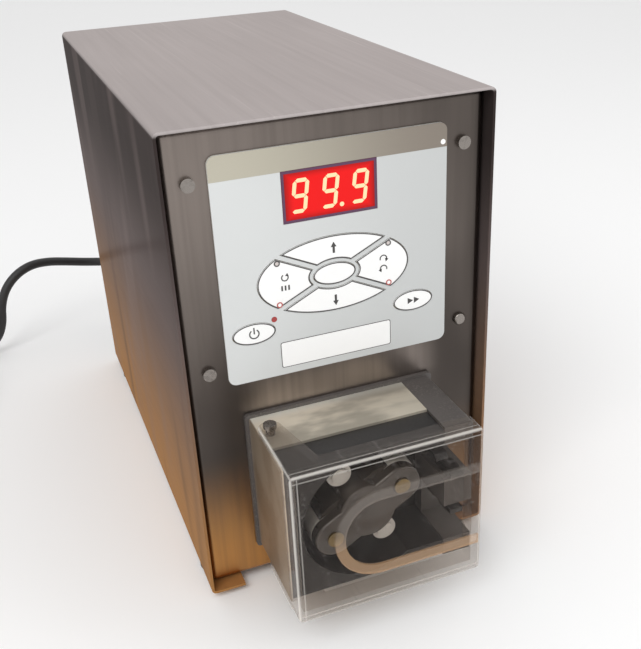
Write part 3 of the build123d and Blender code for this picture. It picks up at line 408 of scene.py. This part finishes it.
def plain_steel(name, tint, roughness):
    """Small steel parts with turned or rolled lines and a little tarnish."""
    material, shading = new_finish(name)
    lines = shading.noise(shading.place(scale=(1, 0.1, 1)), 3000)
    tarnish = shading.noise(shading.place(), 420, 3)
    tone = shading.mix(tarnish.step(0.45, 0.75) * 0.6, tint, shade_of(tint, 0.5))
    shading.surface(base_color=tone, metallic=1.0, roughness=lines * 0.12 + roughness)
    shading.bump(lines, 0.01 * MM, 0.5)
    return material


def base_steel(tints):
    return plain_steel("base_steel", (0.34, 0.33, 0.32), 0.36)


def screw_steel(tints):
    return plain_steel("screw_steel", (0.27, 0.245, 0.225), 0.22)


def shaft_steel(tints):
    return plain_steel("shaft_steel", (0.52, 0.51, 0.49), 0.2)


def supply_metal(tints):
    return plain_steel("supply_metal", (0.52, 0.53, 0.54), 0.42)


def brass(tints):
    return plain_steel("turned_brass", tints.brass, 0.2)


def dull_brass(tints):
    return plain_steel("dull_brass", shade_of(tints.brass, 0.34), 0.26)


def moulding(name, tint, roughness, grain=900, dust=0.0, dust_tint=(0.32, 0.29, 0.26)):
    """Moulded plastic with a fine grain, and dust where it has settled."""
    material, shading = new_finish(name)
    skin = shading.noise(shading.place(), grain, 3)
    blotches = shading.noise(shading.place(), 60, 4)
    tone = shading.mix(blotches.step(0.35, 0.7) * 0.5, tint, shade_of(tint, 0.7))
    if dust:
        specks = shading.noise(shading.place(), 1500, 4)
        tone = shading.mix(specks.step(0.5, 0.8) * blotches.step(0.3, 0.7) * dust, tone, dust_tint)
    shading.surface(base_color=tone, roughness=skin * 0.14 + blotches * 0.08 + roughness)
    shading.bump(skin, 0.012 * MM, 0.4)
    return material


def head_black(tints):
    return moulding("head_moulding", tints.block, 0.3, dust=0.16)


def frame_grey(tints):
    return moulding("clamp_moulding", tints.strip, 0.38, dust=0.5)


def rubber(tints):
    return moulding("foot_rubber", tints.rubber, 0.6)


def cord_black(tints):
    return moulding("lead_sheath", tints.rubber, 0.42, grain=1600)


def plug_black(tints):
    return moulding("plug_moulding", tints.rubber, 0.46, grain=1400)


def chip_black(tints):
    return moulding("component_moulding", (0.028, 0.028, 0.028), 0.4)


def board_green(tints):
    return moulding("circuit_board", (0.02, 0.14, 0.05), 0.36)


def copper_film(tints):
    return moulding("circuit_film", (0.45, 0.36, 0.22), 0.4)


def drive_grey(tints):
    return moulding("drive_paint", (0.16, 0.165, 0.17), 0.42)


def display_black(tints):
    return moulding("display_potting", (0.05, 0.01, 0.01), 0.3)


def lamp_red(tints):
    return moulding("lamp_lens", (0.42, 0.05, 0.045), 0.12)


def nylon_white(tints):
    return moulding("nylon", tints.nylon, 0.32, dust=0.2, dust_tint=(0.4, 0.36, 0.3))


def rotor_smoke(tints):
    """Smoky glossy moulding with faint swirls."""
    material, shading = new_finish("rotor_moulding")
    swirl = shading.noise(shading.place(), 70, 3)
    skin = shading.noise(shading.place(), 1100, 2)
    tone = shading.mix(swirl.step(0.35, 0.7) * 0.6, tints.rotor, shade_of(tints.rotor, 1.7))
    shading.surface(base_color=tone, roughness=skin * 0.1 + 0.16, coat_weight=0.5, coat_roughness=0.08)
    shading.bump(skin, 0.008 * MM, 0.3)
    return material


def keypad_film(tints):
    """Printed film with a faint orange-peel skin, and painted shade that makes it a little darker to the
    right.
    """
    material, shading = new_finish("keypad_film")
    peel = shading.noise(shading.place(), 1300, 2)
    haze = shading.noise(shading.place(), 16, 2)
    # Painted shade: darker to the right
    across = shading.axis("X").step(PAD_LOW[0], PAD_HIGH[0])
    tone = shading.mix(across * 0.75, shade_of(tints.film, 1.08), shade_of(tints.film, 0.84))
    tone = shading.mix(haze.step(0.3, 0.7) * 0.18, tone, shade_of(tints.film, 0.85))
    shading.surface(base_color=tone, roughness=peel * 0.1 + 0.36)
    shading.bump(peel, 0.012 * MM, 0.4)
    return material


def key_white(tints):
    """White printed film."""
    material, shading = new_finish("key_film")
    peel = shading.noise(shading.place(), 1300, 2)
    rub = shading.noise(shading.place(), 90, 3)
    tone = shading.mix(rub.step(0.5, 0.8) * 0.3, tints.key, shade_of(tints.key, 0.94))
    shading.surface(base_color=tone, roughness=peel * 0.1 + 0.34)
    shading.bump(peel, 0.012 * MM, 0.4)
    return material


def window_red(tints):
    """Red window with a painted glow round its digits and painted shade towards its edges."""
    material, shading = new_finish("red_window")
    across = (shading.axis("X") - WINDOW_X).magnitude()
    upright = (shading.axis("Z") - WINDOW_Z).magnitude()
    # Painted shade: darker towards the edges
    edge = across.step(15 * MM, 21 * MM).most(upright.step(6.5 * MM, 11.5 * MM))
    tone = shading.mix(edge, tints.window, shade_of(tints.window, 0.35))
    # Painted glow: the middle of the window gives off light round the digits
    light = shading.mix(edge, (0.08, 0.0, 0.0), (0.0, 0.0, 0.0))
    shading.surface(
        base_color=tone, roughness=0.3, specular_ior_level=0.2, emission_color=light, emission_strength=1.0
    )
    return material


def ink(name, tint, roughness=0.4):
    """Printed ink with a slightly uneven body."""
    material, shading = new_finish(name)
    body = shading.noise(shading.place(), 1800, 2)
    tone = shading.mix(body * 0.5, tint, shade_of(tint, 1.5))
    shading.surface(base_color=tone, roughness=body * 0.1 + roughness)
    return material


def band_metal(tints):
    """Bare metallic band of the film, with painted light and shade: lighter at the left, darker at the
    right.
    """
    material, shading = new_finish("band_metal")
    lines = shading.noise(shading.place(scale=(0.03, 1, 1)), 2600, 2)
    # Painted light and shade: lighter at the left, darker at the right
    across = shading.axis("X").step(PAD_LOW[0], PAD_HIGH[0])
    tone = shading.mix(across, (0.52, 0.49, 0.40), (0.26, 0.225, 0.19))
    shading.surface(base_color=tone, metallic=0.6, roughness=lines * 0.12 + 0.34)
    shading.bump(lines, 0.01 * MM, 0.4)
    return material


def glow_light(tints):
    """Lit segment with a slightly uneven glow."""
    material, shading = new_finish("lit_segment")
    body = shading.noise(shading.place(), 700, 2)
    light = shading.mix(body * 0.5, tints.glow, (1.0, 0.66, 0.34))
    shading.surface(base_color=(0.3, 0.1, 0.05), roughness=0.3, emission_color=light, emission_strength=0.95)
    return material


def clear_plastic(tints):
    """Clear guard: see-through, with gloss at a slant, painted highlights along its edges and along lines
    where its walls meet, and a rib.
    """
    material, shading = new_finish("clear_guard")
    slant = shading.node("ShaderNodeLayerWeight", None, {"Blend": 0.5}, out="Facing")
    scuffs = scratches(shading, (0.4, 0.3, 0.9), 420, 0.69)
    scuffs = scuffs.most(scratches(shading, (1.2, 0.2, 2.0), 520, 0.71))
    haze = shading.noise(shading.place(), 55, 3)
    side = (shading.axis("X") - GUARD_LOW[0]).least(GUARD_HIGH[0] - shading.axis("X"))
    rise = (shading.axis("Z") - GUARD_LOW[2]).least(GUARD_HIGH[2] - shading.axis("Z"))
    reach = shading.axis("Y") - (GUARD_LOW[1] + RIB_HEIGHT)
    rim = (0.3 * MM, 1.6 * MM)
    near_side = 1 - side.step(*rim)
    near_rise = 1 - rise.step(*rim)
    near_front = 1 - reach.magnitude().step(*rim)
    edges = (near_side * near_rise).most(near_side * near_front).most(near_rise * near_front)
    line = (0.1 * MM, 0.5 * MM)
    walls = (side - GUARD_WALL).magnitude().least((rise - GUARD_WALL).magnitude())
    inner = (1 - walls.step(*line)) * near_front
    front = (reach - GUARD_WALL).magnitude()
    inner = inner.most((1 - front.step(*line)) * near_rise.most(near_side))
    rib = 1 - reach.step(-0.6 * MM, -0.1 * MM)
    upper = shading.axis("Z").step(50 * MM, 62 * MM)
    # Painted highlight: pale colour along the edges and along the lines where the walls meet
    tone = shading.mix(edges.most(inner), (0.50, 0.46, 0.44), (0.86, 0.82, 0.76))
    tone = shading.mix(rib, tone, shading.mix(upper, (0.72, 0.45, 0.25), (0.45, 0.40, 0.36)))
    shading.surface(base_color=tone, roughness=scuffs * 0.2 + 0.05, specular_ior_level=0.8)
    shading.bump(haze, 0.1 * MM, 0.25)
    veil = slant ** 3 * 0.5 + haze.step(0.4, 0.8) * 0.015 + scuffs * 0.08 + 0.008
    # The painted edge highlights are also less see-through
    body = veil.most(edges * 0.55).most(inner * 0.3).most(rib * (0.36 - upper * 0.18))
    clear = shading.node("ShaderNodeBsdfTransparent", None, {"Color": (0.91, 0.89, 0.87)})
    solid = Signal(shading, shading.shader.outputs[0])
    mixed = shading.node("ShaderNodeMixShader", None, {0: body, 1: clear, 2: solid})
    shading.plug(shading.end.inputs["Surface"], mixed)
    return material


FINISHES = {
    finish.__name__: finish
    for finish in (
        shell_steel, panel_steel, hood_steel, base_steel, screw_steel, shaft_steel, supply_metal, brass,
        head_black, frame_grey, rubber, cord_black, plug_black, chip_black, board_green, copper_film,
        drive_grey, display_black, lamp_red, nylon_white, rotor_smoke, keypad_film, key_white, window_red,
        clear_plastic,
    )
}


# ---- Shapes ----


def new_piece(name, shape, material, body="root"):
    """Turns a bmesh into a piece that rides on a body."""
    bmesh.ops.recalc_face_normals(shape, faces=shape.faces)
    mesh = bpy.data.meshes.new(name)
    shape.to_mesh(mesh)
    shape.free()
    mesh.materials.append(material)
    piece = bpy.data.objects.new(name, mesh)
    bpy.context.scene.collection.objects.link(piece)
    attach(piece, body)
    return piece


def thicken(shape, depth):
    """Gives flat faces that look to the front a thickness, towards the front."""
    raised = bmesh.ops.extrude_face_region(shape, geom=shape.faces[:], use_keep_orig=True)
    corners = [part for part in raised["geom"] if isinstance(part, bmesh.types.BMVert)]
    bmesh.ops.translate(shape, verts=corners, vec=(0, -depth, 0))


def add_flat(shape, outline, y):
    """Adds one flat face with this outline of X and Z."""
    shape.faces.new([shape.verts.new((x, y, z)) for x, z in outline])


def add_bar(shape, left, low, wide, high, y):
    """Adds a flat rectangle."""
    right, top = left + wide, low + high
    add_flat(shape, [(left, low), (right, low), (right, top), (left, top)], y)


def add_disc(shape, x, y, z, radius):
    """Adds a flat disc that looks to the front."""
    place = Matrix.Translation((x, y, z)) @ Matrix.Rotation(math.pi / 2, 4, "X")
    bmesh.ops.create_circle(shape, cap_ends=True, segments=32, radius=radius, matrix=place)


def add_arc(shape, x, y, z, radius, width, start, turn, steps=24):
    """Adds a flat stretch of ring that starts at an angle from the top and turns clockwise."""
    ends = [shape.verts.new((x, y, z + radius + side * width / 2)) for side in (-1, 1)]
    edge = shape.edges.new(ends)
    centre = Vector((x, y, z))
    bmesh.ops.rotate(shape, verts=ends, cent=centre, matrix=Matrix.Rotation(start, 3, "Y"))
    bmesh.ops.spin(shape, geom=[*ends, edge], cent=centre, axis=(0, 1, 0), angle=turn, steps=steps)


def add_head(shape, x, y, z, size, angle):
    """Adds a flat arrow head whose tip points at an angle from the top, clockwise."""
    half, back = size * 0.75, size * 0.35
    outline = [(0, size), (half, -back), (-half, -back)]
    sine, cosine = math.sin(angle), math.cos(angle)
    add_flat(shape, [(x + a * cosine + b * sine, z - a * sine + b * cosine) for a, b in outline], y)


def front_of(node):
    """The flat front of a CAD node as one face."""
    shape = bmesh.new()
    shape.from_mesh(NODES[node].data)
    bmesh.ops.remove_doubles(shape, verts=shape.verts, dist=0.001 * MM)
    front = min(vert.co.y for vert in shape.verts)
    rest = [face for face in shape.faces if max(vert.co.y for vert in face.verts) > front + 0.01 * MM]
    bmesh.ops.delete(shape, geom=rest, context="FACES")
    bmesh.ops.dissolve_faces(shape, faces=shape.faces[:])
    return shape


def border_of(node, width, depth):
    """A printed line just inside the outline of a CAD node's front."""
    shape = front_of(node)
    ring = bmesh.ops.inset_region(
        shape, faces=shape.faces[:], thickness=width, use_even_offset=True, use_boundary=True
    )["faces"]
    inner = [face for face in shape.faces if face not in ring]
    bmesh.ops.delete(shape, geom=inner, context="FACES")
    bmesh.ops.translate(shape, verts=shape.verts, vec=(0, -SKIN, 0))
    thicken(shape, depth)
    return shape


# ---- Pieces ----


class PUMP_OT_paint_frame(bpy.types.Operator):
    """Gives every node of the frame its finish"""

    bl_idname = "pump.paint_frame"
    bl_label = "Paint Frame"

    def execute(self, context):
        slots = {part["node"]: part["material_slot"] for part in frame["record"]["subparts"]}
        materials = {}
        for node, slot in slots.items():
            if slot not in materials:
                materials[slot] = FINISHES[slot](context.scene.pump_colours)
            for place in NODES[node].material_slots:
                place.material = materials[slot]
        # Heads of the pins: dull brass on the pressure rollers, white on the guides
        NODES["roller_pins"].material_slots[0].material = dull_brass(context.scene.pump_colours)
        NODES["guide_pins"].material_slots[0].material = materials["nylon_white"]
        return {"FINISHED"}


class PUMP_OT_keypad_print(bpy.types.Operator):
    """Prints the band, the blank label, the key lines and the dots of the keypad"""

    bl_idname = "pump.keypad_print"
    bl_label = "Keypad Print"

    keys = ("faster_key", "slower_key", "direction_key", "mode_key", "start_key", "power_key", "prime_key")
    label_x = -1.5 * MM
    label_z = 115.6 * MM
    label_corner = 1.0 * MM
    dot_x = {"mode_key": -26.0 * MM, "direction_key": 23.3 * MM}
    upper_dot_z = {"mode_key": 157.6 * MM, "direction_key": 157.6 * MM}
    lower_dot_z = {"mode_key": 139.2 * MM, "direction_key": 139.5 * MM}
    dot_radius = 1.3 * MM
    dot_ring = 0.5 * MM
    sensor_x = 48.7 * MM
    sensor_z = 197.1 * MM
    sensor_radius = 1.1 * MM

    def band(self, sizes, tints):
        """Bare metallic band across the top of the film, with the film's own corners."""
        shape = front_of("keypad_overlay")
        cut = PAD_HIGH[2] - sizes.band_height
        bmesh.ops.bisect_plane(
            shape, geom=[*shape.verts, *shape.edges, *shape.faces], plane_co=(0, 0, cut),
            plane_no=(0, 0, 1), clear_inner=True,
        )
        bmesh.ops.translate(shape, verts=shape.verts, vec=(0, -SKIN, 0))
        thicken(shape, sizes.print_depth)
        new_piece("keypad_band", shape, band_metal(tints))

    def label(self, sizes, dark, white):
        """Blank white label with a dark line round it."""
        for name, inset, lift, material in (
            ("label_line", 0.0, 0.0, dark), ("label_blank", sizes.outline * 0.7, sizes.print_depth, white),
        ):
            shape = bmesh.new()
            wide = sizes.label_width - 2 * inset
            high = sizes.label_height - 2 * inset
            add_bar(shape, self.label_x - wide / 2, self.label_z - high / 2, wide, high, PAD_Y - SKIN - lift)
            bmesh.ops.bevel(
                shape, geom=shape.verts[:], offset=self.label_corner - inset / 2, segments=5, profile=0.5,
                affect="VERTICES", material=-1,
            )
            thicken(shape, sizes.print_depth)
            new_piece(name, shape, material)

    def dot(self, name, key, x, z, ring_ink, middle_ink, depth):
        """Ringed dot on a key."""
        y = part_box(key)[0][1] - SKIN
        ring, middle = bmesh.new(), bmesh.new()
        add_arc(ring, x, y, z, self.dot_radius - self.dot_ring / 2, self.dot_ring, 0, 2 * math.pi, 32)
        add_disc(middle, x, y, z, self.dot_radius - self.dot_ring)
        bmesh.ops.remove_doubles(ring, verts=ring.verts, dist=0.001 * MM)
        thicken(ring, depth)
        thicken(middle, depth * 0.6)
        new_piece(f"{name}_ring", ring, ring_ink, f"{key}_cap")
        new_piece(f"{name}_middle", middle, middle_ink, f"{key}_cap")

    def execute(self, context):
        sizes, tints = context.scene.pump_sizes, context.scene.pump_colours
        depth = sizes.print_depth
        dark = ink("dark_ink", tints.ink)
        red = ink("red_ink", tints.red_ink)
        pale = ink("pale_ink", tints.pale_ink)
        white = key_white(tints)
        self.band(sizes, tints)
        self.label(sizes, dark, white)
        for key in self.keys:
            line = border_of(key, sizes.outline, depth)
            new_piece(f"{key}_line", line, dark, f"{key}_cap")
        for key, x in self.dot_x.items():
            self.dot(f"{key}_upper_dot", key, x, self.upper_dot_z[key], dark, pale, depth * 3)
            self.dot(f"{key}_lower_dot", key, x, self.lower_dot_z[key], red, white, depth * 3)
        shape = bmesh.new()
        add_disc(shape, self.sensor_x, PAD_Y - SKIN - depth, self.sensor_z, self.sensor_radius)
        thicken(shape, depth)
        new_piece("sensor_dot", shape, white)
        border_ink = ink("window_border_ink", tints.border_ink, 0.25)
        shape = border_of("display_window", sizes.window_border, depth)
        new_piece("window_border", shape, border_ink)
        return {"FINISHED"}


class PUMP_OT_key_symbols(bpy.types.Operator):
    """Prints a plain symbol on each key but the middle one"""

    bl_idname = "pump.key_symbols"
    bl_label = "Key Symbols"

    stroke = 0.5 * MM
    faster_z = 160.0 * MM
    slower_z = 136.5 * MM
    direction_x = 21.0 * MM
    mode_x = -23.0 * MM

    def arrow(self, x, y, z, way):
        """Upright arrow, up or down."""
        shape = bmesh.new()
        outline = [(-0.5, -2.3), (0.5, -2.3), (0.5, 0.4), (1.25, 0.4), (0, 2.6), (-1.25, 0.4), (-0.5, 0.4)]
        add_flat(shape, [(x + a * MM, z + b * way * MM) for a, b in outline], y)
        return shape

    def power(self, x, y, z):
        """Broken ring with a bar through its gap."""
        shape = bmesh.new()
        gap = math.radians(36)
        wide, high = 0.56 * MM, 2.9 * MM
        add_arc(shape, x, y, z, 2.0 * MM, 0.55 * MM, gap, 2 * math.pi - 2 * gap)
        add_bar(shape, x - wide / 2, z, wide, high, y)
        return shape

    def turns(self, x, y, z):
        """Two round arrows, one each way."""
        shape = bmesh.new()
        radius = 1.5 * MM
        for rise, way in ((2.3 * MM, 1), (-2.3 * MM, -1)):
            middle = z + rise
            start, sweep = math.radians(-110) * way, math.radians(220) * way
            add_arc(shape, x, y, middle, radius, self.stroke, start, sweep)
            tip = start + sweep
            head_x = x + radius * math.sin(tip)
            head_z = middle + radius * math.cos(tip)
            add_head(shape, head_x, y, head_z, 1.1 * MM, tip + math.pi / 2 * way)
        return shape

    def modes(self, x, y, z):
        """A closed loop over a row of three bars."""
        shape = bmesh.new()
        add_arc(shape, x, y, z + 2.3 * MM, 1.4 * MM, self.stroke, math.radians(40), math.radians(290))
        add_head(shape, x + 0.9 * MM, y, z + 3.4 * MM, 1.0 * MM, math.radians(130))
        pitch, wide, high = 1.5 * MM, 0.7 * MM, 2.2 * MM
        for step in (-1, 0, 1):
            add_bar(shape, x + step * pitch - wide / 2, z - 3.4 * MM, wide, high, y)
        return shape

    def forward(self, x, y, z):
        """Two arrow heads to the right."""
        shape = bmesh.new()
        for shift in (-1.9 * MM, 1.1 * MM):
            add_head(shape, x + shift, y, z, 1.9 * MM, math.pi / 2)
        return shape

    def middle_of(self, key):
        """Middle of a key, just off its front."""
        low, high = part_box(key)
        return (low[0] + high[0]) / 2, low[1] - SKIN, (low[2] + high[2]) / 2

    def execute(self, context):
        dark = ink("symbol_ink", shade_of(context.scene.pump_colours.ink, 0.8))
        x, y, z = self.middle_of("start_key")
        shapes = {
            "faster_key": self.arrow(x, y, self.faster_z, 1),
            "slower_key": self.arrow(x, y, self.slower_z, -1),
            "power_key": self.power(*self.middle_of("power_key")),
            "direction_key": self.turns(self.direction_x, y, z),
            "mode_key": self.modes(self.mode_x, y, z),
            "prime_key": self.forward(*self.middle_of("prime_key")),
        }
        for key, shape in shapes.items():
            thicken(shape, context.scene.pump_sizes.print_depth)
            new_piece(f"{key}_symbol", shape, dark, f"{key}_cap")
        return {"FINISHED"}


class PUMP_OT_digits(bpy.types.Operator):
    """Builds three lit seven-segment digits and a decimal point"""

    bl_idname = "pump.digits"
    bl_label = "Digits"

    nine = "abcdfg"
    gap = 0.12 * MM
    point_x = 4.8 * MM
    point_radius = 0.95 * MM

    def segment(self, shape, centre, half, width, upright, lean):
        """One lit bar with pointed ends, in a digit that leans."""
        bar = [(-half, 0), (-half + width, width), (half - width, width)]
        bar += [(-along, -aside) for along, aside in bar]
        outline = []
        for along, aside in bar:
            a, b = (aside, along) if upright else (along, aside)
            x, z = centre[0] + a, centre[1] + b
            outline.append((x + (z - WINDOW_Z) * lean, z))
        add_flat(shape, outline, PAD_Y - SKIN)

    def execute(self, context):
        sizes = context.scene.pump_sizes
        shape = bmesh.new()
        lean = math.tan(sizes.slant)
        half_w = (sizes.digit_width - sizes.stroke) / 2
        half_h = (sizes.digit_height - sizes.stroke) / 4
        across, tall, width = half_w - self.gap, half_h - self.gap, sizes.stroke / 2
        for step in (-1, 0, 1):
            x = WINDOW_X + step * sizes.digit_pitch
            places = {
                "a": ((x, WINDOW_Z + 2 * half_h), across, False),
                "b": ((x + half_w, WINDOW_Z + half_h), tall, True),
                "c": ((x + half_w, WINDOW_Z - half_h), tall, True),
                "d": ((x, WINDOW_Z - 2 * half_h), across, False),
                "f": ((x - half_w, WINDOW_Z + half_h), tall, True),
                "g": ((x, WINDOW_Z), across, False),
            }
            for letter in self.nine:
                centre, half, upright = places[letter]
                self.segment(shape, centre, half, width, upright, lean)
        thicken(shape, sizes.print_depth)
        tints = context.scene.pump_colours
        new_piece("lit_digits", shape, glow_light(tints))
        shape = bmesh.new()
        add_disc(shape, WINDOW_X + self.point_x, PAD_Y - SKIN, WINDOW_Z - 2 * half_h, self.point_radius)
        thicken(shape, sizes.print_depth)
        new_piece("decimal_point", shape, glow_light(tints))
        return {"FINISHED"}


# Middle of the lead from the gland to where it meets the coil, in millimetres and then in metres
LEAD_POINTS = (
    (-38.0, 176.7, 46.0), (-38.0, 192.7, 46.1), (-45.3, 207.0, 46.4), (-58.3, 216.2, 47.2),
    (-74.0, 218.2, 49.2), (-88.0, 214.2, 53.8), (-100.5, 208.7, 58.2), (-112.5, 204.2, 59.4),
    (-123.5, 200.7, 55.2), (-131.9, 198.2, 47.0), (-136.5, 197.2, 36.0), (-138.0, 196.7, 24.6),
    (-142.0, 196.9, 14.7), (-149.6, 197.3, 7.1), (-159.6, 198.1, 3.0), (-175.5, 200.0, 3.0),
)
LEAD_ROUTE = [tuple(part * MM for part in point) for point in LEAD_POINTS]


class PUMP_OT_mains_lead(bpy.types.Operator):
    """Lays the mains lead from its gland to the coil and the plug"""

    bl_idname = "pump.mains_lead"
    bl_label = "Mains Lead"

    turn_points = 16
    layer_turns = 3.0
    climb_turns = 0.5
    all_turns = 6.25
    layer_rise = 1.02
    plug_run = ((22.0, -1.2), (13.0, -0.3), (5.0, 0.0), (-3.5, 0.0))

    def coil(self, diameter):
        """Turns of two layers: inwards on the floor, then outwards on top."""
        x, y = (COIL_LOW[0] + COIL_HIGH[0]) / 2, (COIL_LOW[1] + COIL_HIGH[1]) / 2
        wide = (COIL_HIGH[0] - COIL_LOW[0]) / 2 - diameter / 2
        points = []
        for step in range(int(self.all_turns * self.turn_points) + 1):
            turns = step / self.turn_points
            inward = min(turns, self.layer_turns)
            outward = max(0.0, turns - self.layer_turns - self.climb_turns)
            climb = min(1.0, max(0.0, (turns - self.layer_turns) / self.climb_turns))
            radius = wide - (inward - outward) * diameter
            angle = math.pi / 2 + turns * 2 * math.pi
            height = diameter * (0.5 + climb * self.layer_rise)
            points.append((x + radius * math.cos(angle), y + radius * math.sin(angle), height))
        return points

    def execute(self, context):
        diameter = context.scene.pump_sizes.lead_diameter
        plug_x = (PLUG_LOW[0] + PLUG_HIGH[0]) / 2
        plug_z = (PLUG_LOW[2] + PLUG_HIGH[2]) / 2
        into_plug = [(plug_x, PLUG_HIGH[1] + away * MM, plug_z + rise * MM) for away, rise in self.plug_run]
        points = [*LEAD_ROUTE, *self.coil(diameter), *into_plug]
        curve = bpy.data.curves.new("mains_lead", "CURVE")
        curve.dimensions = "3D"
        curve.bevel_depth = diameter / 2
        curve.bevel_resolution = 5
        curve.resolution_u = 8
        curve.use_fill_caps = True
        spline = curve.splines.new("NURBS")
        spline.points.add(len(points) - 1)
        for place, point in zip(spline.points, points):
            place.co = (*point, 1)
        spline.order_u = 3
        spline.use_endpoint_u = True
        lead = bpy.data.objects.new("mains_lead", curve)
        context.scene.collection.objects.link(lead)
        curve.materials.append(NODES["plug_lead"].material_slots[0].material)
        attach(lead, "root")
        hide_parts("power_cord", "cord_coil", "plug_lead")
        return {"FINISHED"}


class PUMP_OT_studio(bpy.types.Operator):
    """Sets the floor, the lamps, the sky and the camera"""

    bl_idname = "pump.studio"
    bl_label = "Studio"

    floor_drop = 0.1 * MM
    aim = (0, 0, 0.1)
    key_place = (-0.7, -0.7, 1.1)
    key_size = 0.7
    fill_place = (0.9, -0.5, 0.7)
    fill_size = 0.6
    lens = 51.387
    sensor = 36
    lens_shift = (-0.0207, 0.0133)
    camera_place = (-0.12673, -0.42847, 0.30225)
    camera_turn = (62.80364, 2.354, -21.74315)

    def floor(self, studio):
        """Plain pale floor just under the feet."""
        shape = bmesh.new()
        bmesh.ops.create_grid(shape, x_segments=1, y_segments=1, size=studio.floor_size / 2)
        bmesh.ops.translate(shape, verts=shape.verts, vec=(0, 0, -self.floor_drop))
        mesh = bpy.data.meshes.new("floor")
        shape.to_mesh(mesh)
        shape.free()
        floor = bpy.data.objects.new("floor", mesh)
        bpy.context.scene.collection.objects.link(floor)
        material, shading = new_finish("floor_paper")
        grain = shading.noise(shading.place(), 40, 2)
        tone = shading.mix(grain * 0.1, studio.floor_colour, shade_of(studio.floor_colour, 0.97))
        shading.surface(base_color=tone, roughness=0.9)
        mesh.materials.append(material)

    def sky(self, studio):
        """Even white sky, shown at full white to the camera, to gloss and through clear plastic."""
        world = bpy.data.worlds.new("sky")
        world.use_nodes = True
        bpy.context.scene.world = world
        shading = Shading(world.node_tree, "ShaderNodeBackground")
        shading.end = world.node_tree.nodes.new("ShaderNodeOutputWorld")
        shading.plug(shading.end.inputs["Surface"], Signal(shading, shading.shader.outputs[0]))
        seen = shading.node("ShaderNodeLightPath", out="Is Camera Ray")
        for ray in ("Is Glossy Ray", "Is Transmission Ray"):
            seen = seen.most(shading.node("ShaderNodeLightPath", out=ray))
        shading.surface(color=(1, 1, 1), strength=seen * (1 - studio.sky) + studio.sky)

    def lamp(self, name, place, size, power):
        """Soft square lamp that looks at the pump."""
        light = bpy.data.lights.new(name, "AREA")
        light.energy = power
        light.size = size
        lamp = bpy.data.objects.new(name, light)
        lamp.location = place
        lamp.rotation_euler = (Vector(self.aim) - Vector(place)).to_track_quat("-Z", "Y").to_euler()
        bpy.context.scene.collection.objects.link(lamp)

    def camera(self):
        """Camera above and to the left of the front."""
        lens = bpy.data.cameras.new("camera")
        lens.lens = self.lens
        lens.sensor_width = self.sensor
        lens.shift_x, lens.shift_y = self.lens_shift
        camera = bpy.data.objects.new("camera", lens)
        camera.location = self.camera_place
        camera.rotation_euler = [math.radians(turn) for turn in self.camera_turn]
        bpy.context.scene.collection.objects.link(camera)
        bpy.context.scene.camera = camera

    def execute(self, context):
        studio = context.scene.pump_studio
        context.scene.view_settings.view_transform = "Standard"
        self.floor(studio)
        self.sky(studio)
        self.lamp("key_lamp", self.key_place, self.key_size, studio.key_power)
        self.lamp("fill_lamp", self.fill_place, self.fill_size, studio.fill_power)
        self.camera()
        return {"FINISHED"}


class PUMP_PT_sidebar(bpy.types.Panel):
    """Lists the pump's sizes, colours and pieces"""

    bl_label = "Bench Pump"
    bl_idname = "PUMP_PT_sidebar"
    bl_space_type = "VIEW_3D"
    bl_region_type = "UI"
    bl_category = "Pump"

    def draw(self, context):
        for group in (context.scene.pump_sizes, context.scene.pump_colours, context.scene.pump_studio):
            box = self.layout.box()
            for name in type(group).__annotations__:
                box.prop(group, name)
        for operator in OPERATORS:
            self.layout.operator(operator.bl_idname)


GROUPS = {"pump_sizes": PumpSizes, "pump_colours": PumpColours, "pump_studio": PumpStudio}
OPERATORS = (
    PUMP_OT_paint_frame, PUMP_OT_keypad_print, PUMP_OT_key_symbols, PUMP_OT_digits, PUMP_OT_mains_lead,
    PUMP_OT_studio,
)


def register():
    for name, group in GROUPS.items():
        bpy.utils.register_class(group)
        setattr(bpy.types.Scene, name, bpy.props.PointerProperty(type=group))
    for operator in OPERATORS:
        bpy.utils.register_class(operator)
    bpy.utils.register_class(PUMP_PT_sidebar)


def unregister():
    bpy.utils.unregister_class(PUMP_PT_sidebar)
    for operator in reversed(OPERATORS):
        bpy.utils.unregister_class(operator)
    for name, group in GROUPS.items():
        delattr(bpy.types.Scene, name)
        bpy.utils.unregister_class(group)


def main():
    """Builds every piece and the studio."""
    register()
    bpy.ops.pump.paint_frame()
    bpy.ops.pump.keypad_print()
    bpy.ops.pump.key_symbols()
    bpy.ops.pump.digits()
    bpy.ops.pump.mains_lead()
    bpy.ops.pump.studio()


if __name__ == "__main__":
    main()
